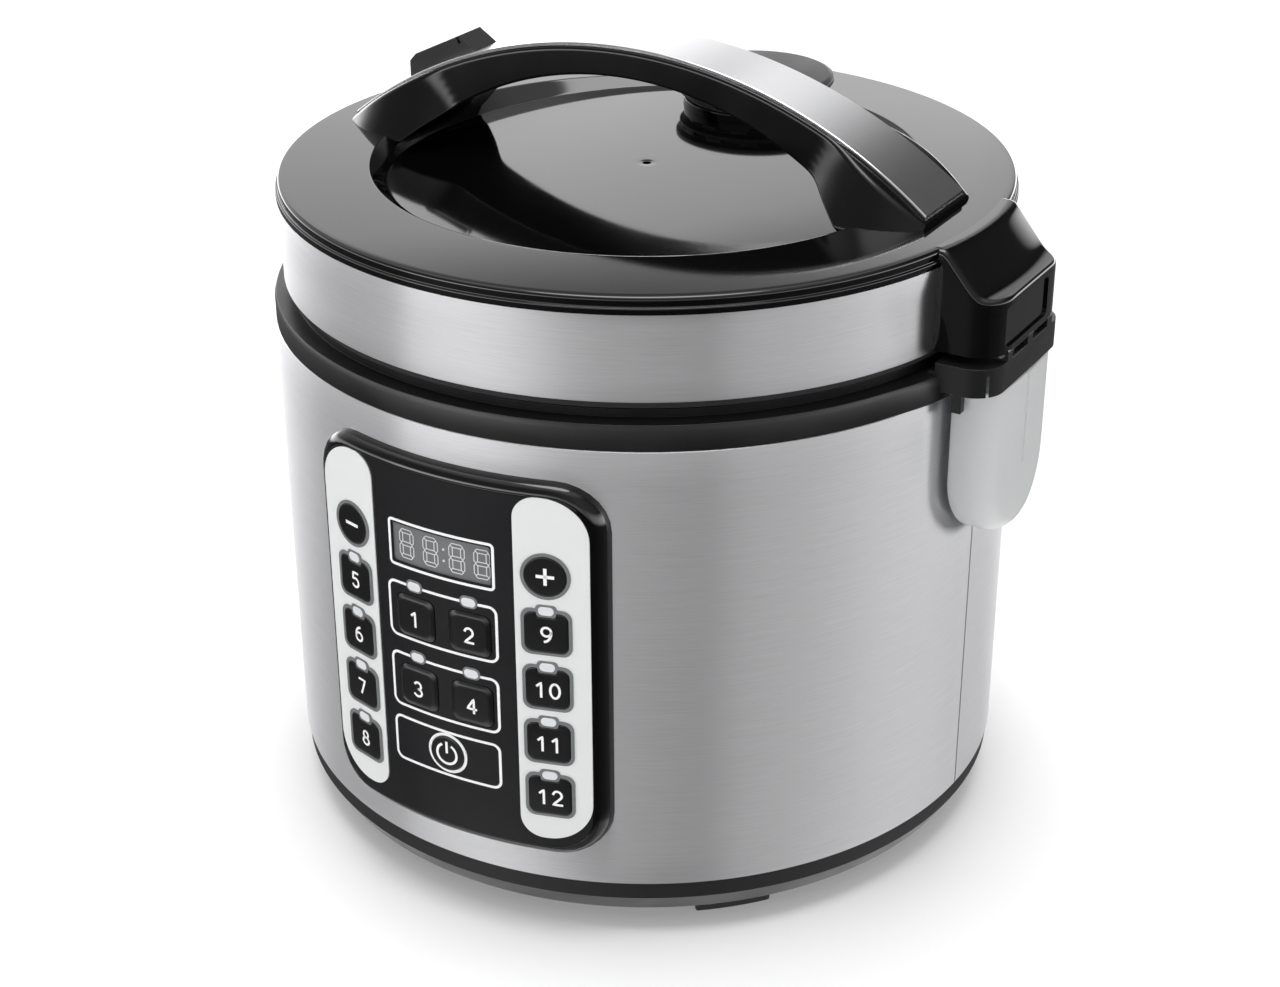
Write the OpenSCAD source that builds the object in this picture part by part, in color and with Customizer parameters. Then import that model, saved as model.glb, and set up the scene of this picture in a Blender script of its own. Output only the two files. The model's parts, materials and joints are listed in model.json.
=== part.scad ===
// Round countertop slow cooker with a hinged lid, a control panel and a drip cup.
// Millimetres. +Z is up and the table is z = 0. The control panel faces -Y, the
// lid hinge and the drip cup are at +X, and the lid release is at -X.

/* [Body] */
// Outer radius of the brushed steel skin
body_r = 134; // [120:1:150]
// Height of the feet
foot_h = 8; // [5:0.5:14]
// Lower edge of the steel skin
skin_bottom = 22; // [16:1:30]
// Upper edge of the steel skin
skin_top = 188; // [150:1:220]
// Thickness of the steel skin
skin_t = 0.8; // [0.5:0.1:1.5]
// Top face of the black ring around the body
rim_top = 197; // [160:1:230]
// Outer radius of the black ring
rim_r = 135.4; // [121:0.2:152]

/* [Lid] */
// Lower edge of the steel band on the lid
band_bottom = 203.2; // [170:0.2:240]
// Upper edge of the steel band on the lid
band_top = 232.1; // [190:0.1:260]
// Outer radius of the steel band
band_r = 129; // [115:0.5:145]
// Flat ring on top of the lid
lid_top = 238; // [200:1:270]
// Outer radius of the black lid shell
lid_r = 131.3; // [118:0.1:148]
// Inner edge of the flat ring, where the scoop under the handle starts
scoop_r = 95; // [80:1:110]
// Depth of the scoop at the ends of the handle
scoop_depth = 4.8; // [2:0.2:8]
// Radius of the edge around the top of the lid
lid_edge = 2.2; // [0.5:0.1:5]

/* [Handle] */
// Highest point of the handle
handle_top = 282.5; // [250:0.5:310]
// Radius of the handle's upper curve
handle_arc_r = 187; // [150:1:240]
// Radius of the handle's under side
under_arc_r = 131.5; // [100:0.5:180]
// Height of the under side above the table at mid length
under_top = 271.5; // [240:0.5:300]
// Half width of the handle at mid length
handle_half_w = 13.9; // [8:0.2:18]
// Thickness of the steel trim on the handle
trim_t = 1.2; // [0.6:0.1:2]

/* [Hinge and drip cup] */
// Distance of the hinge pin from the middle of the body
hinge_x = 146.6; // [140:0.1:160]
// Height of the hinge pin
hinge_z = 203.8; // [195:0.1:215]
// Radius of the hinge pin
hinge_pin_r = 1.6; // [1:0.1:3]
// Half width of the hinge housing
hinge_half_w = 28.5; // [20:0.5:45]
// Middle of the hinge housing and the cup along Y
hinge_y = -2; // [-10:0.5:10]
// Half width of the drip cup
cup_half_w = 26; // [18:0.5:40]
// Lowest point of the drip cup
cup_bottom = 131.5; // [90:0.5:170]
// Wall of the drip cup
cup_t = 1.5; // [1:0.1:3]

/* [Control panel] */
// Width of the panel frame
panel_w = 111; // [90:1:140]
// Turn of the panel about the body towards the hinge
panel_turn = 1.2; // [-10:0.1:10]
// Lower edge of the panel frame
panel_bottom = 39; // [30:1:60]
// Upper edge of the panel frame
panel_top = 176.5; // [140:0.5:185]
// Radius of the panel's curved front face
panel_r = 139.4; // [136:0.2:146]
// Travel of a key
key_travel = 0.8; // [0.4:0.1:1.5]

/* [Pot and heater] */
// Outer radius of the cooking pot
pot_r = 115.5; // [95:0.5:125]
// Under side of the cooking pot
pot_bottom = 52; // [45:1:70]
// Wall of the cooking pot
pot_t = 1.6; // [1:0.1:3]
// Outer radius of the liner
liner_r = 119.5; // [100:0.5:128]

/* [Steam vent] */
// Distance of the vent behind the middle of the lid
vent_y = 81; // [50:1:95]
// Radius of the vent cap
vent_r = 30; // [18:0.5:36]
// Top of the vent cap
vent_top = 249.5; // [240:0.5:270]

/* [Hidden] */
$fn = 96;
eps = 0.05;
gap = 0.3;
arc_z = handle_top - handle_arc_r;
under_z = under_top - under_arc_r;
floor_top = lid_top - 0.6;
floor_r = scoop_r * scoop_r / (2 * (scoop_depth - 0.6));
foot_x = 93;
screw_x = 103;
collar_top = 201.1;
collar_x = 149;
side_r = 2400;
side_az = 15.7;
mid_az = 4.4;
round_z = 144.7;
row_z = [123.6, 102.4, 81.3, 60.1];
mid_z = [118.1, 90.8];
power_z = 68.1;
key_face_r = panel_r + 0.8;
key_w = 15.4;
key_h = 15;
claw_x = -123.2;
claw_z = 222;
press_x = -92.5;
press_z = 254;

// A ring about the vertical axis.
module ring(r_in, r_out, z0, z1) {
  difference() {
    translate([0, 0, z0]) cylinder(r = r_out, h = z1 - z0);
    translate([0, 0, z0 - 1]) cylinder(r = r_in, h = z1 - z0 + 2);
  }
}

// A box given by its low and high corners.
module span(a, b) {
  translate(a) cube([b[0] - a[0], b[1] - a[1], b[2] - a[2]]);
}

// A flat rectangle with round corners, centred on its own origin.
module rrect(w, h, r) {
  square([w, h - 2 * r], center = true);
  square([w - 2 * r, h], center = true);
  for (x = [-1, 1], y = [-1, 1])
    translate([x * (w / 2 - r), y * (h / 2 - r)]) circle(r);
}

// Puts a flat drawing on the front of the panel, x to the right and y up.
module at_panel(az, z, r) {
  rotate([0, 0, az + panel_turn]) translate([0, -r, z]) rotate([90, 0, 0]) children();
}

// A drawing swept from the middle of the body out through the panel.
module through_panel(z) {
  rotate([0, 0, panel_turn]) translate([0, 0, z]) rotate([90, 0, 0])
    linear_extrude(150) children();
}

// A cylinder along Y with its middle at x, z.
module bar_y(x, z, r, half) {
  translate([x, half, z]) rotate([90, 0, 0]) cylinder(r = r, h = 2 * half);
}

// A drawing in the XZ plane pushed out along Y.
module slab_y(half) {
  translate([0, half, 0]) rotate([90, 0, 0]) linear_extrude(2 * half) children();
}

// Everything under the floor of the scoop, an arch along the handle, raised by lift.
module under_floor(lift) {
  bar_y(0, floor_top - floor_r, floor_r + lift, 110, $fn = 256);
}

// Everything under the top surface of the lid, raised by lift.
module under_lid(lift) {
  ring(scoop_r - lift, lid_r, 215, lid_top + lift);
  intersection() {
    translate([0, 0, 215]) cylinder(r = scoop_r + 1, h = 30);
    under_floor(lift);
  }
}

module base_pan() color("#1d1d1f") difference() {
  union() {
    rotate_extrude() polygon([[0, foot_h], [128.5, foot_h], [133.2, 15.5],
      [133.2, skin_bottom - 0.1], [132.8, skin_bottom - 0.1], [132.8, 28],
      [130.4, 28], [130.4, 17], [127, 10.8], [0, 10.8]]);
    for (a = [0:90:270]) rotate([0, 0, a])
      translate([104, 0, 10]) cylinder(r = 7, h = 19.9);
    for (x = [-38, 38], y = [-33, 33])
      translate([x, y, 10]) cylinder(r = 3.4, h = 3);
  }
  for (a = [0:90:270]) rotate([0, 0, a]) {
    translate([104, 0, foot_h - 1]) cylinder(r = 4.6, h = 6);
    translate([104, 0, foot_h]) cylinder(r = 2.1, h = 30);
  }
  for (a = [15:15:345]) if (a % 90 > 20 && a % 90 < 70) rotate([0, 0, a])
    span([58, -2, foot_h - 1], [88, 2, 12]);
}

module feet() color("#242426") for (a = [38.5:90:330]) rotate([0, 0, a - 90])
  rotate_extrude(angle = 13)
    polygon([[110.5, foot_h], [112.5, 0], [121.5, 0], [123.5, foot_h]]);

module outer_wrap() color("#c9cacc") difference() {
  ring(body_r - skin_t, body_r, skin_bottom, skin_top);
  rotate([0, 0, panel_turn]) span([-47, -140, 50], [47, -100, 166]);
  span([-15.6, 110, 33.6], [15.6, 140, 56.4]);
  rotate([0, 0, 88.2]) span([-0.3, -140, skin_bottom - 1], [0.3, -120, skin_top + 1]);
}

module body_rim() color("#17171a") difference() {
  union() {
    rotate_extrude() polygon([[rim_r, skin_top + 0.1], [rim_r, rim_top - 1.8],
      [rim_r - 0.9, rim_top], [127, rim_top], [127, 199.8], [124.6, 199.8],
      [124.6, 196.2], [119.9, 196.2], [119.9, 193.4], [130.5, 193.4],
      [130.5, 180], [132.9, 180], [132.9, skin_top + 0.1]]);
    difference() {
      translate([0, 0, 191]) linear_extrude(collar_top - 191)
        translate([collar_x - 40, hinge_y]) rrect(80, 63, 10.5);
      translate([0, 0, 180]) cylinder(r = 130.6, h = 30);
      span([100, -36, 198], [128.6, 34, 204]);
      difference() {
        span([120, hinge_y - 28.4, 189], [collar_x - 2.5, hinge_y + 28.4, 198.6]);
        translate([0, 0, 180]) cylinder(r = rim_r - 0.2, h = 30);
      }
    }
    for (y = [-28.6, 28.6]) span([134.6, hinge_y + y - 1.6, 184],
      [138, hinge_y + y + 1.6, 192]);
    for (y = [-17, 0, 17]) {
      bar_y_at(hinge_x, hinge_z, 2.5, hinge_y + y, 2.2);
      span([hinge_x - 2.5, hinge_y + y - 2.2, 199], [collar_x, hinge_y + y + 2.2, hinge_z]);
    }
  }
  bar_y(hinge_x, hinge_z, hinge_pin_r + eps, 40);
  span([-129.3, -8.2, 179], [-121, 8.2, 201]);
  span([-132.6, -9, 194.5], [-128, 9, 196.1]);
  translate([140, hinge_y, 190]) cylinder(r = 3, h = 20);
}

// A short cylinder along Y, centred on y0.
module bar_y_at(x, z, r, y0, half) {
  translate([0, y0, 0]) bar_y(x, z, r, half);
}

module liner() color("#a9abad") difference() {
  union() {
    ring(liner_r - 1, liner_r, 30, 192.4);
    ring(liner_r - 1, 130, 192.2, 193.3);
    translate([0, 0, 30]) cylinder(r = liner_r, h = 1);
  }
  translate([0, 0, 29]) cylinder(r = 5.2, h = 4);
  for (a = [0:90:270]) rotate([0, 0, a]) translate([104, 0, 29]) cylinder(r = 2.2, h = 4);
  for (a = [-24, 24]) rotate([0, 0, a]) translate([0, 72, 29]) cylinder(r = 5.5, h = 4);
  span([-133, -8.2, 190], [-121, 8.2, 195]);
}

module heating_plate() color("#b3b4b5") difference() {
  union() {
    rotate_extrude() polygon([[15.4, 42], [95, 42], [97, 44], [97, 50],
      [94, pot_bottom - eps], [15.4, pot_bottom - eps]]);
    ring(64, 80, 37.5, 42.5);
    for (a = [90, 210, 330]) rotate([0, 0, a - 90])
      translate([50, 0, 31.05]) cylinder(r = 5, h = 12);
  }
  rotate_extrude() translate([72, 37.5]) circle(4.55);
}

module heater_element() color("#8d8f92") {
  rotate([0, 0, 114]) rotate_extrude(angle = 312) translate([72, 37.5]) circle(4.5);
  for (a = [-24, 24]) rotate([0, 0, a]) translate([0, 72, 22]) cylinder(r = 3.2, h = 14);
}

module band_heater() color("#c9b07a") ring(liner_r + 0.2, liner_r + 1, 100, 135);

module power_board() color("#2f6b3c") span([-45, -40, 13.05], [45, 40, 14.6]);

module board_parts() color("#3a3d42") {
  span([-40, -34, 14.65], [-12, -8, 28.5]);
  span([-6, -34, 14.65], [10, -14, 27]);
  translate([26, -22, 14.65]) cylinder(r = 8, h = 13);
  translate([-30, 20, 14.65]) cylinder(r = 5, h = 12);
  span([14, 10, 14.65], [40, 20, 24]);
  span([-14, 4, 14.65], [6, 30, 17.5]);
}

module inlet_socket() color("#161617") difference() {
  union() {
    difference() {
      translate([0, 137, 45]) rotate([90, 0, 0]) linear_extrude(8) rrect(36, 28, 4);
      cylinder(r = body_r + eps, h = 80);
    }
    span([-15, 121.5, 34], [15, 136, 56]);
  }
  translate([0, 138, 45]) rotate([90, 0, 0]) linear_extrude(13) rrect(23, 15, 2.5);
}

module inlet_pins() color("#c8a451") for (x = [-6, 0, 6])
  span([x - 1, 125.05, 43 + (x == 0 ? 3 : 0)], [x + 1, 135, 47 + (x == 0 ? 3 : 0)]);

module base_screws() color("#b9bbbd") for (a = [0:90:270]) rotate([0, 0, a]) {
  translate([104, 0, foot_h + 2.4]) cylinder(r = 4.2, h = 2.5);
  translate([104, 0, foot_h + 4]) cylinder(r = 1.95, h = 22);
}

// Holes for the keys, opened by the clearance c.
module key_holes(c) {
  for (s = [-1, 1]) {
    at_panel(s * side_az, round_z, 150) mirror([0, 0, 1]) linear_extrude(28)
      circle(8 + c);
    for (z = row_z) at_panel(s * side_az, z, 150) mirror([0, 0, 1])
      linear_extrude(28) rrect(key_w + 2 * c, key_h + 2 * c, 2.4);
    for (z = mid_z) at_panel(s * mid_az, z, 150) mirror([0, 0, 1])
      linear_extrude(28) rrect(key_w + 2 * c, key_h + 2 * c, 2.4);
  }
  at_panel(0, power_z, 150) mirror([0, 0, 1]) linear_extrude(28) circle(7 + c);
}

module panel_bezel() color("#0f0f11") difference() {
  intersection() {
    ring(body_r + 0.05, panel_r, panel_bottom - 5, panel_top + 5);
    through_panel((panel_top + panel_bottom) / 2)
      rrect(panel_w, panel_top - panel_bottom, 17);
  }
  intersection() {
    translate([0, 0, 20]) cylinder(r = panel_r - 2, h = 170);
    through_panel((panel_top + panel_bottom) / 2)
      rrect(panel_w - 6, panel_top - panel_bottom - 6, 14);
  }
  key_holes(0.35);
  through_panel(144.2) rrect(38, 13.6, 1);
}

module silver_strips() color("#cfd0d1") difference() {
  intersection() {
    ring(panel_r + eps, panel_r + 0.5, panel_bottom, panel_top);
    through_panel((panel_top + panel_bottom) / 2)
      rrect(panel_w - 7.8, panel_top - panel_bottom - 7.5, 15);
    through_panel((panel_top + panel_bottom) / 2) for (s = [-1, 1])
      translate([s * (panel_w - 7.8 + 54.6) / 4, 0])
        rrect((panel_w - 7.8 - 54.6) / 2, panel_top - panel_bottom - 7.5, 8);
  }
  key_holes(0.35);
}

module display_lens() color("#55585a") intersection() {
  ring(panel_r - 1.9, panel_r - 0.1, 120, 160);
  through_panel(144.2) rrect(37.6, 13.2, 0.8);
}

// One seven segment figure of height h, with its lower left corner at 0, 0.
module figure(h) {
  w = h * 0.52;
  t = h * 0.13;
  for (y = [0, (h - t) / 2, h - t]) translate([t * 0.7, y]) square([w - 1.4 * t, t]);
  for (x = [0, w - t], y = [t * 0.7, h / 2 + t * 0.2])
    translate([x, y]) square([t, h / 2 - 0.9 * t]);
}

module display_digits() color("#e6e8e6") intersection() {
  ring(panel_r - 0.05, panel_r + 0.1, 120, 160);
  union() {
    for (x = [-15.4, -6.6, 1.9, 10.4]) through_panel(139.7) translate([x, 0]) figure(9);
    for (z = [141.9, 146.3]) through_panel(z) translate([-0.65, 0]) circle(0.5, $fn = 24);
  }
}

// A thin rounded outline.
module outline(w, h, r, t) {
  difference() {
    rrect(w, h, r);
    rrect(w - 2 * t, h - 2 * t, r - t);
  }
}

module printed_frames() color("#b9bbbd") difference() {
  intersection() {
    ring(panel_r + eps, panel_r + 0.2, 50, 160);
    union() {
      through_panel(144.2) outline(43, 16.8, 2.5, 0.8);
      through_panel(119.2) outline(43, 21, 2.5, 0.8);
      through_panel(91.6) outline(43, 21, 2.5, 0.8);
      through_panel(67.6) outline(43, 17.6, 2.5, 0.8);
    }
  }
  for (s = [-1, 1], z = [129.7, 102]) at_panel(s * mid_az, z, 150)
    mirror([0, 0, 1]) linear_extrude(20) square([6.8, 3.4], center = true);
}

module status_lights() color("#f2f2ee") {
  for (s = [-1, 1], z = row_z) at_panel(s * side_az, z + 9.7, panel_r + 0.52)
    linear_extrude(0.65) rrect(5.6, 2.4, 1.15);
  for (s = [-1, 1], z = [129.7, 102]) at_panel(s * mid_az, z, panel_r + 0.02)
    linear_extrude(0.6) rrect(5.6, 2.6, 1.2);
}

module switch_board() color("#2d6a3e") rotate([0, 0, panel_turn]) {
  span([-44, -124, 52], [44, -122.4, 164]);
  for (s = [-1, 1]) {
    for (z = concat([round_z], row_z)) translate([s * 35.4, -124, z])
      rotate([90, 0, 0]) cylinder(r = 2.6, h = 0.5);
    for (z = mid_z) translate([s * 10.1, -124, z]) rotate([90, 0, 0])
      cylinder(r = 2.6, h = 5.3);
  }
  translate([0, -124, power_z]) rotate([90, 0, 0]) cylinder(r = 2.6, h = 5.6);
}

module hinge_pin() color("#b8babc")
  bar_y_at(hinge_x, hinge_z, hinge_pin_r, hinge_y, 20);

module hinge_springs() color("#909296") for (y = [-10.5, 6.5], k = [-3:3])
  translate([135.5, y + k * 1.5, 209]) rotate([90, 0, 0])
    rotate_extrude() translate([3.4, 0]) circle(0.7, $fn = 24);

module latch_catch() color("#b0b2b4") span([-132.5, -8.9, 194.55], [-129.35, 8.9, 196.05]);

module cooking_pot() color("#5b5d60") rotate_extrude() difference() {
  union() {
    translate([0, pot_bottom + 18]) square([pot_r, 196.4 - pot_bottom - 17]);
    translate([0, pot_bottom]) square([pot_r - 18, 30]);
    translate([pot_r - 18, pot_bottom + 18]) circle(18);
    translate([0, 196.4]) square([120.7, 1.8]);
    translate([120.7, 197.3]) circle(0.9, $fn = 32);
  }
  translate([-1, pot_bottom + 18]) square([pot_r - pot_t + 1, 200]);
  translate([-1, pot_bottom + pot_t]) square([pot_r - 18 + 1, 60]);
  translate([pot_r - 18, pot_bottom + 18]) circle(18 - pot_t);
}

module thermostat() color("#c4c5c6") {
  rotate_extrude() polygon([[0, 40], [14, 40], [14, 51], [13, 51.9], [0, 51.9]]);
  translate([0, 0, 24]) cylinder(r = 4, h = 17);
}

module thermostat_spring() color("#9a9c9f") for (k = [0:4])
  translate([0, 0, 32.2 + k * 1.6]) rotate_extrude() translate([8, 0]) circle(0.7, $fn = 24);

// Points along an arc, from angle a0 to a1 in n steps.
function arc(cx, cz, r, a0, a1, n) =
  [for (i = [0:n]) let (a = a0 + (a1 - a0) * i / n) [cx + r * cos(a), cz + r * sin(a)]];

module lid_shell() color("#101012") difference() {
  union() {
    rotate_extrude() polygon(concat([[126.2, band_top + 0.1], [lid_r, band_top + 0.1]],
      arc(lid_r - lid_edge, lid_top - lid_edge, lid_edge, 0, 90, 6), [[scoop_r, lid_top],
      [scoop_r, 229.5], [scoop_r + 2.5, 229.5], [scoop_r + 2.5, lid_top - 2.5],
      [126.2, lid_top - 2.5]]));
    intersection() {
      translate([0, 0, 225]) cylinder(r = scoop_r + 1, h = 20);
      difference() {
        under_floor(0);
        under_floor(-2.5);
      }
    }
  }
  translate([0, vent_y, 220]) cylinder(r = 27.1, h = 40);
  translate([0, 0, 220]) cylinder(r = 1.6, h = 30);
  for (x = [-screw_x, screw_x], y = [-8, 8]) translate([x, y, 225]) cylinder(r = 2.1, h = 30);
}

module lid_band() color("#c9cacc") ring(band_r - 0.8, band_r, band_bottom, band_top);

module lid_lining() color("#232326") difference() {
  union() {
    rotate_extrude() polygon([[127.9, 231.6], [126.3, 231.6], [126.3, 202.5],
      [121.5, 202.5], [121.5, 206.2], [0, 206.2], [0, 204.2], [119.7, 204.2],
      [119.7, 200.5], [127.9, 200.5]]);
    for (y = [-1, 1]) span([-126.6, y * 8 - 1.2, 217], [-120, y * 8 + 1.2, 226]);
  }
  translate([0, vent_y, 200]) cylinder(r = 10, h = 10);
  span([-126.25, -6.6, 199], [-120, 6.6, 207]);
  span([-130, -6.6, 199], [-120, 6.6, 203.4]);
  bar_y(claw_x, claw_z, 1.55, 12);
}

module inner_lid() color("#bfc1c2") difference() {
  rotate_extrude() polygon([[118, 201], [118, 201.9], [96, 201.9], [90, 203.7],
    [0, 203.7], [0, 202.8], [90.4, 202.8], [96.3, 201]]);
  for (a = [0:45:315]) rotate([0, 0, a]) translate([60, 0, 200]) cylinder(r = 2.5, h = 6);
}

module lid_gasket() color("#d7d7d2") rotate_extrude()
  polygon([[119.5, 204.1], [116.8, 204.1], [116.8, 202], [118.1, 202],
    [118.1, 199.5], [117.2, 198.5], [119.5, 198.5]]);

// The shape of the handle seen from the side, trimmed to width by two wide curves.
module waisted(half) {
  difference() {
    children();
    for (s = [-1, 1]) translate([0, s * (half + side_r), 200])
      cylinder(r = side_r, h = 120, $fn = 720);
  }
}

// The well for the release button.
module button_well() {
  slab_y(7.4) polygon([[-99.5, 246], [-65.6, 255.8], [-65.6, 285], [-99.5, 285]]);
}

module handle_arch() color("#131315") difference() {
  union() {
    waisted(handle_half_w) difference() {
      intersection() {
        bar_y(0, arc_z, handle_arc_r - trim_t - eps, 19);
        span([-119, -19, 228], [119, 19, 300]);
      }
      bar_y(0, under_z, under_arc_r, 30);
    }
    for (s = [-1, 1]) intersection() {
      translate([s * foot_x, 0, 0]) rotate_extrude() polygon([[0, 228], [33, 228],
        [27, 236.5], [21, 242], [17, 250], [15, 259], [0, 259]]);
      bar_y(0, arc_z, handle_arc_r - trim_t - 0.4, 40);
      translate([0, 0, 225]) cylinder(r = 118, h = 60);
      difference() {
        span([-120, -40, 228], [120, 40, 262]);
        bar_y(0, under_z, under_arc_r, 50);
      }
    }
  }
  under_lid(eps);
  button_well();
  bar_y(press_x, press_z, 1.55, 9.6);
  for (x = [-screw_x, screw_x], y = [-8, 8])
    translate([x, y, 225]) cylinder(r = 2.05, h = 16.5);
}

module handle_trim() color("#d3d4d6") difference() {
  waisted(handle_half_w - 0.6) intersection() {
    difference() {
      bar_y(0, arc_z, handle_arc_r, 19);
      bar_y(0, arc_z, handle_arc_r - trim_t, 20);
    }
    span([-117.5, -19, 238], [117.5, 19, 300]);
  }
  button_well();
}

module hinge_cover() color("#0f0f11") difference() {
  union() {
    difference() {
      translate([0, 0, 202]) linear_extrude(36)
        translate([collar_x - 40, hinge_y]) rrect(80, 2 * hinge_half_w, 12);
      bar_y(147, 252, 26, 40);
      difference() {
        translate([0, 0, 201]) linear_extrude(40)
          translate([collar_x - 42.8, hinge_y]) rrect(80, 2 * hinge_half_w - 5.4, 9.2);
        bar_y(147, 252, 28.4, 40);
      }
      span([hinge_x - 2.5, -40, 200], [160, 40, hinge_z]);
      span([collar_x - 1, hinge_y - 18, 206], [160, hinge_y + 14, 223.5]);
    }
    bar_y_at(hinge_x, hinge_z, 2.5, hinge_y, 20.5);
  }
  translate([0, 0, 200]) cylinder(r = band_r + 0.15, h = 60);
  translate([0, 0, band_top]) cylinder(r = lid_r + 0.15, h = 20);
  bar_y(hinge_x, hinge_z, hinge_pin_r + eps, 40);
  for (y = [-17, 0, 17]) bar_y_at(hinge_x, hinge_z, 4, hinge_y + y, 2.6);
}

module vent_base() color("#17171a") difference() {
  translate([0, vent_y, 229]) cylinder(r = 27, h = 11.5);
  translate([0, vent_y, 231]) cylinder(r = 25, h = 20);
  translate([0, vent_y, 228]) cylinder(r = 9.2, h = 8);
}

module steam_tube() color("#8e8f92") translate([0, vent_y, 0]) {
  ring(7, 9, 203.8, 236);
}

module vent_cap() color("#1b1b1e") translate([0, vent_y, 0]) difference() {
  union() {
    rotate_extrude() polygon([[0, 245], [28.2, 245], [28.2, 239.4], [vent_r, 239.4],
      [vent_r, vent_top - 1], [vent_r - 1, vent_top], [0, vent_top]]);
    ring(21.5, 23.5, 231.2, 245.5);
  }
  for (a = [0:36:324]) rotate([0, 0, a + 8]) span([26, -5, 238], [32, 5, 241.8]);
  for (a = [0:60:300]) rotate([0, 0, a]) span([18, -4, 236], [26, 4, 244.9]);
}

module release_button() color("#1a1a1d") difference() {
  slab_y(7) polygon([[-96.6, 250], [-93, 248.5], [-68.6, 258.6], [-67.5, 269.8],
    [-74.6, 274.3], [-94, 264.9], [-96.6, 262]]);
  bar_y(press_x, press_z, 1.55, 20);
  slab_y(8) polygon([[-76.2, 274.6], [-75.2, 274.9], [-73.6, 271.8], [-74.6, 271.4]]);
}

module latch_claw() color("#a7a9ac") difference() {
  union() {
    bar_y(claw_x, claw_z, 2.9, 6);
    span([-125.8, -6, 191.5], [-124.2, 6, claw_z]);
    span([-129, -6, 191.5], [-124.2, 6, 193.6]);
  }
  bar_y(claw_x, claw_z, 1.55, 20);
}

module claw_pin() color("#b8babc") bar_y(claw_x, claw_z, 1.5, 9.2);

module button_pin() color("#b8babc") bar_y(press_x, press_z, 1.5, 9.4);

module handle_screws() color("#b9bbbd") for (x = [-screw_x, screw_x], y = [-8, 8]) {
  translate([x, y, lid_top - 5]) cylinder(r = 3.8, h = 2.4);
  translate([x, y, lid_top - 4]) cylinder(r = 1.95, h = 7);
}

// The outline of the drip cup seen from behind, grown by g.
module cup_outline(g) {
  r = cup_half_w + g;
  translate([0, cup_bottom + cup_half_w]) circle(r);
  translate([-r, cup_bottom + cup_half_w]) square([2 * r, 190.4 - cup_bottom - cup_half_w]);
}

module cup_block(g, r_in, r_out) {
  difference() {
    intersection() {
      translate([120, hinge_y, 0]) rotate([90, 0, 90]) linear_extrude(40) cup_outline(g);
      translate([0, 0, 100]) cylinder(r = r_out, h = 120);
    }
    translate([0, 0, 90]) cylinder(r = r_in, h = 140);
  }
}

module drip_cup() color([0.93, 0.94, 0.95, 0.75]) difference() {
  cup_block(0, 136.2, 149.6);
  translate([0, 0, 0.2]) cup_block(-cup_t, 136.2 + cup_t, 149.6 - cup_t);
  span([130, hinge_y - cup_half_w + cup_t, 189], [147.6, hinge_y + cup_half_w - cup_t, 195]);
}

// One key with a square cap and a stem.
module square_key(az, z) {
  at_panel(az, z, key_face_r) {
    mirror([0, 0, 1]) linear_extrude(4.2) rrect(key_w, key_h, 2.2);
    mirror([0, 0, 1]) linear_extrude(8.7) square([6, 6], center = true);
  }
}

// One key with a round cap and a stem.
module round_key(az, z, r) {
  at_panel(az, z, key_face_r) {
    mirror([0, 0, 1]) cylinder(r = r, h = 4.2);
    mirror([0, 0, 1]) linear_extrude(8.7) square([6, 6], center = true);
  }
}

module key_minus() color("#1c1c1f") round_key(-side_az, round_z, 8);
module key_plus() color("#1c1c1f") round_key(side_az, round_z, 8);
module key_power() color("#1c1c1f") round_key(0, power_z, 7);
module key_left_1() color("#1c1c1f") square_key(-side_az, row_z[0]);
module key_left_2() color("#1c1c1f") square_key(-side_az, row_z[1]);
module key_left_3() color("#1c1c1f") square_key(-side_az, row_z[2]);
module key_left_4() color("#1c1c1f") square_key(-side_az, row_z[3]);
module key_right_1() color("#1c1c1f") square_key(side_az, row_z[0]);
module key_right_2() color("#1c1c1f") square_key(side_az, row_z[1]);
module key_right_3() color("#1c1c1f") square_key(side_az, row_z[2]);
module key_right_4() color("#1c1c1f") square_key(side_az, row_z[3]);
module key_mid_1() color("#1c1c1f") square_key(-mid_az, mid_z[0]);
module key_mid_2() color("#1c1c1f") square_key(mid_az, mid_z[0]);
module key_mid_3() color("#1c1c1f") square_key(-mid_az, mid_z[1]);
module key_mid_4() color("#1c1c1f") square_key(mid_az, mid_z[1]);

base_pan();
feet();
outer_wrap();
body_rim();
liner();
heating_plate();
heater_element();
band_heater();
power_board();
board_parts();
inlet_socket();
inlet_pins();
base_screws();
panel_bezel();
silver_strips();
display_lens();
display_digits();
printed_frames();
status_lights();
switch_board();
hinge_pin();
hinge_springs();
latch_catch();
cooking_pot();
thermostat();
thermostat_spring();
lid_shell();
lid_band();
lid_lining();
inner_lid();
lid_gasket();
handle_arch();
handle_trim();
hinge_cover();
vent_base();
steam_tube();
handle_screws();
claw_pin();
button_pin();
vent_cap();
release_button();
latch_claw();
drip_cup();
key_minus();
key_plus();
key_power();
key_left_1();
key_left_2();
key_left_3();
key_left_4();
key_right_1();
key_right_2();
key_right_3();
key_right_4();
key_mid_1();
key_mid_2();
key_mid_3();
key_mid_4();
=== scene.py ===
"""Dresses the packed slow cooker: finished surfaces, materials, plain studio and camera.

Shapes are written in millimetres in the frame of the CAD part and put into the meshes in metres.
+Z is up, the control panel faces -Y and the hinge of the lid is at +X.
"""
import json
from math import pi, radians

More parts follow.
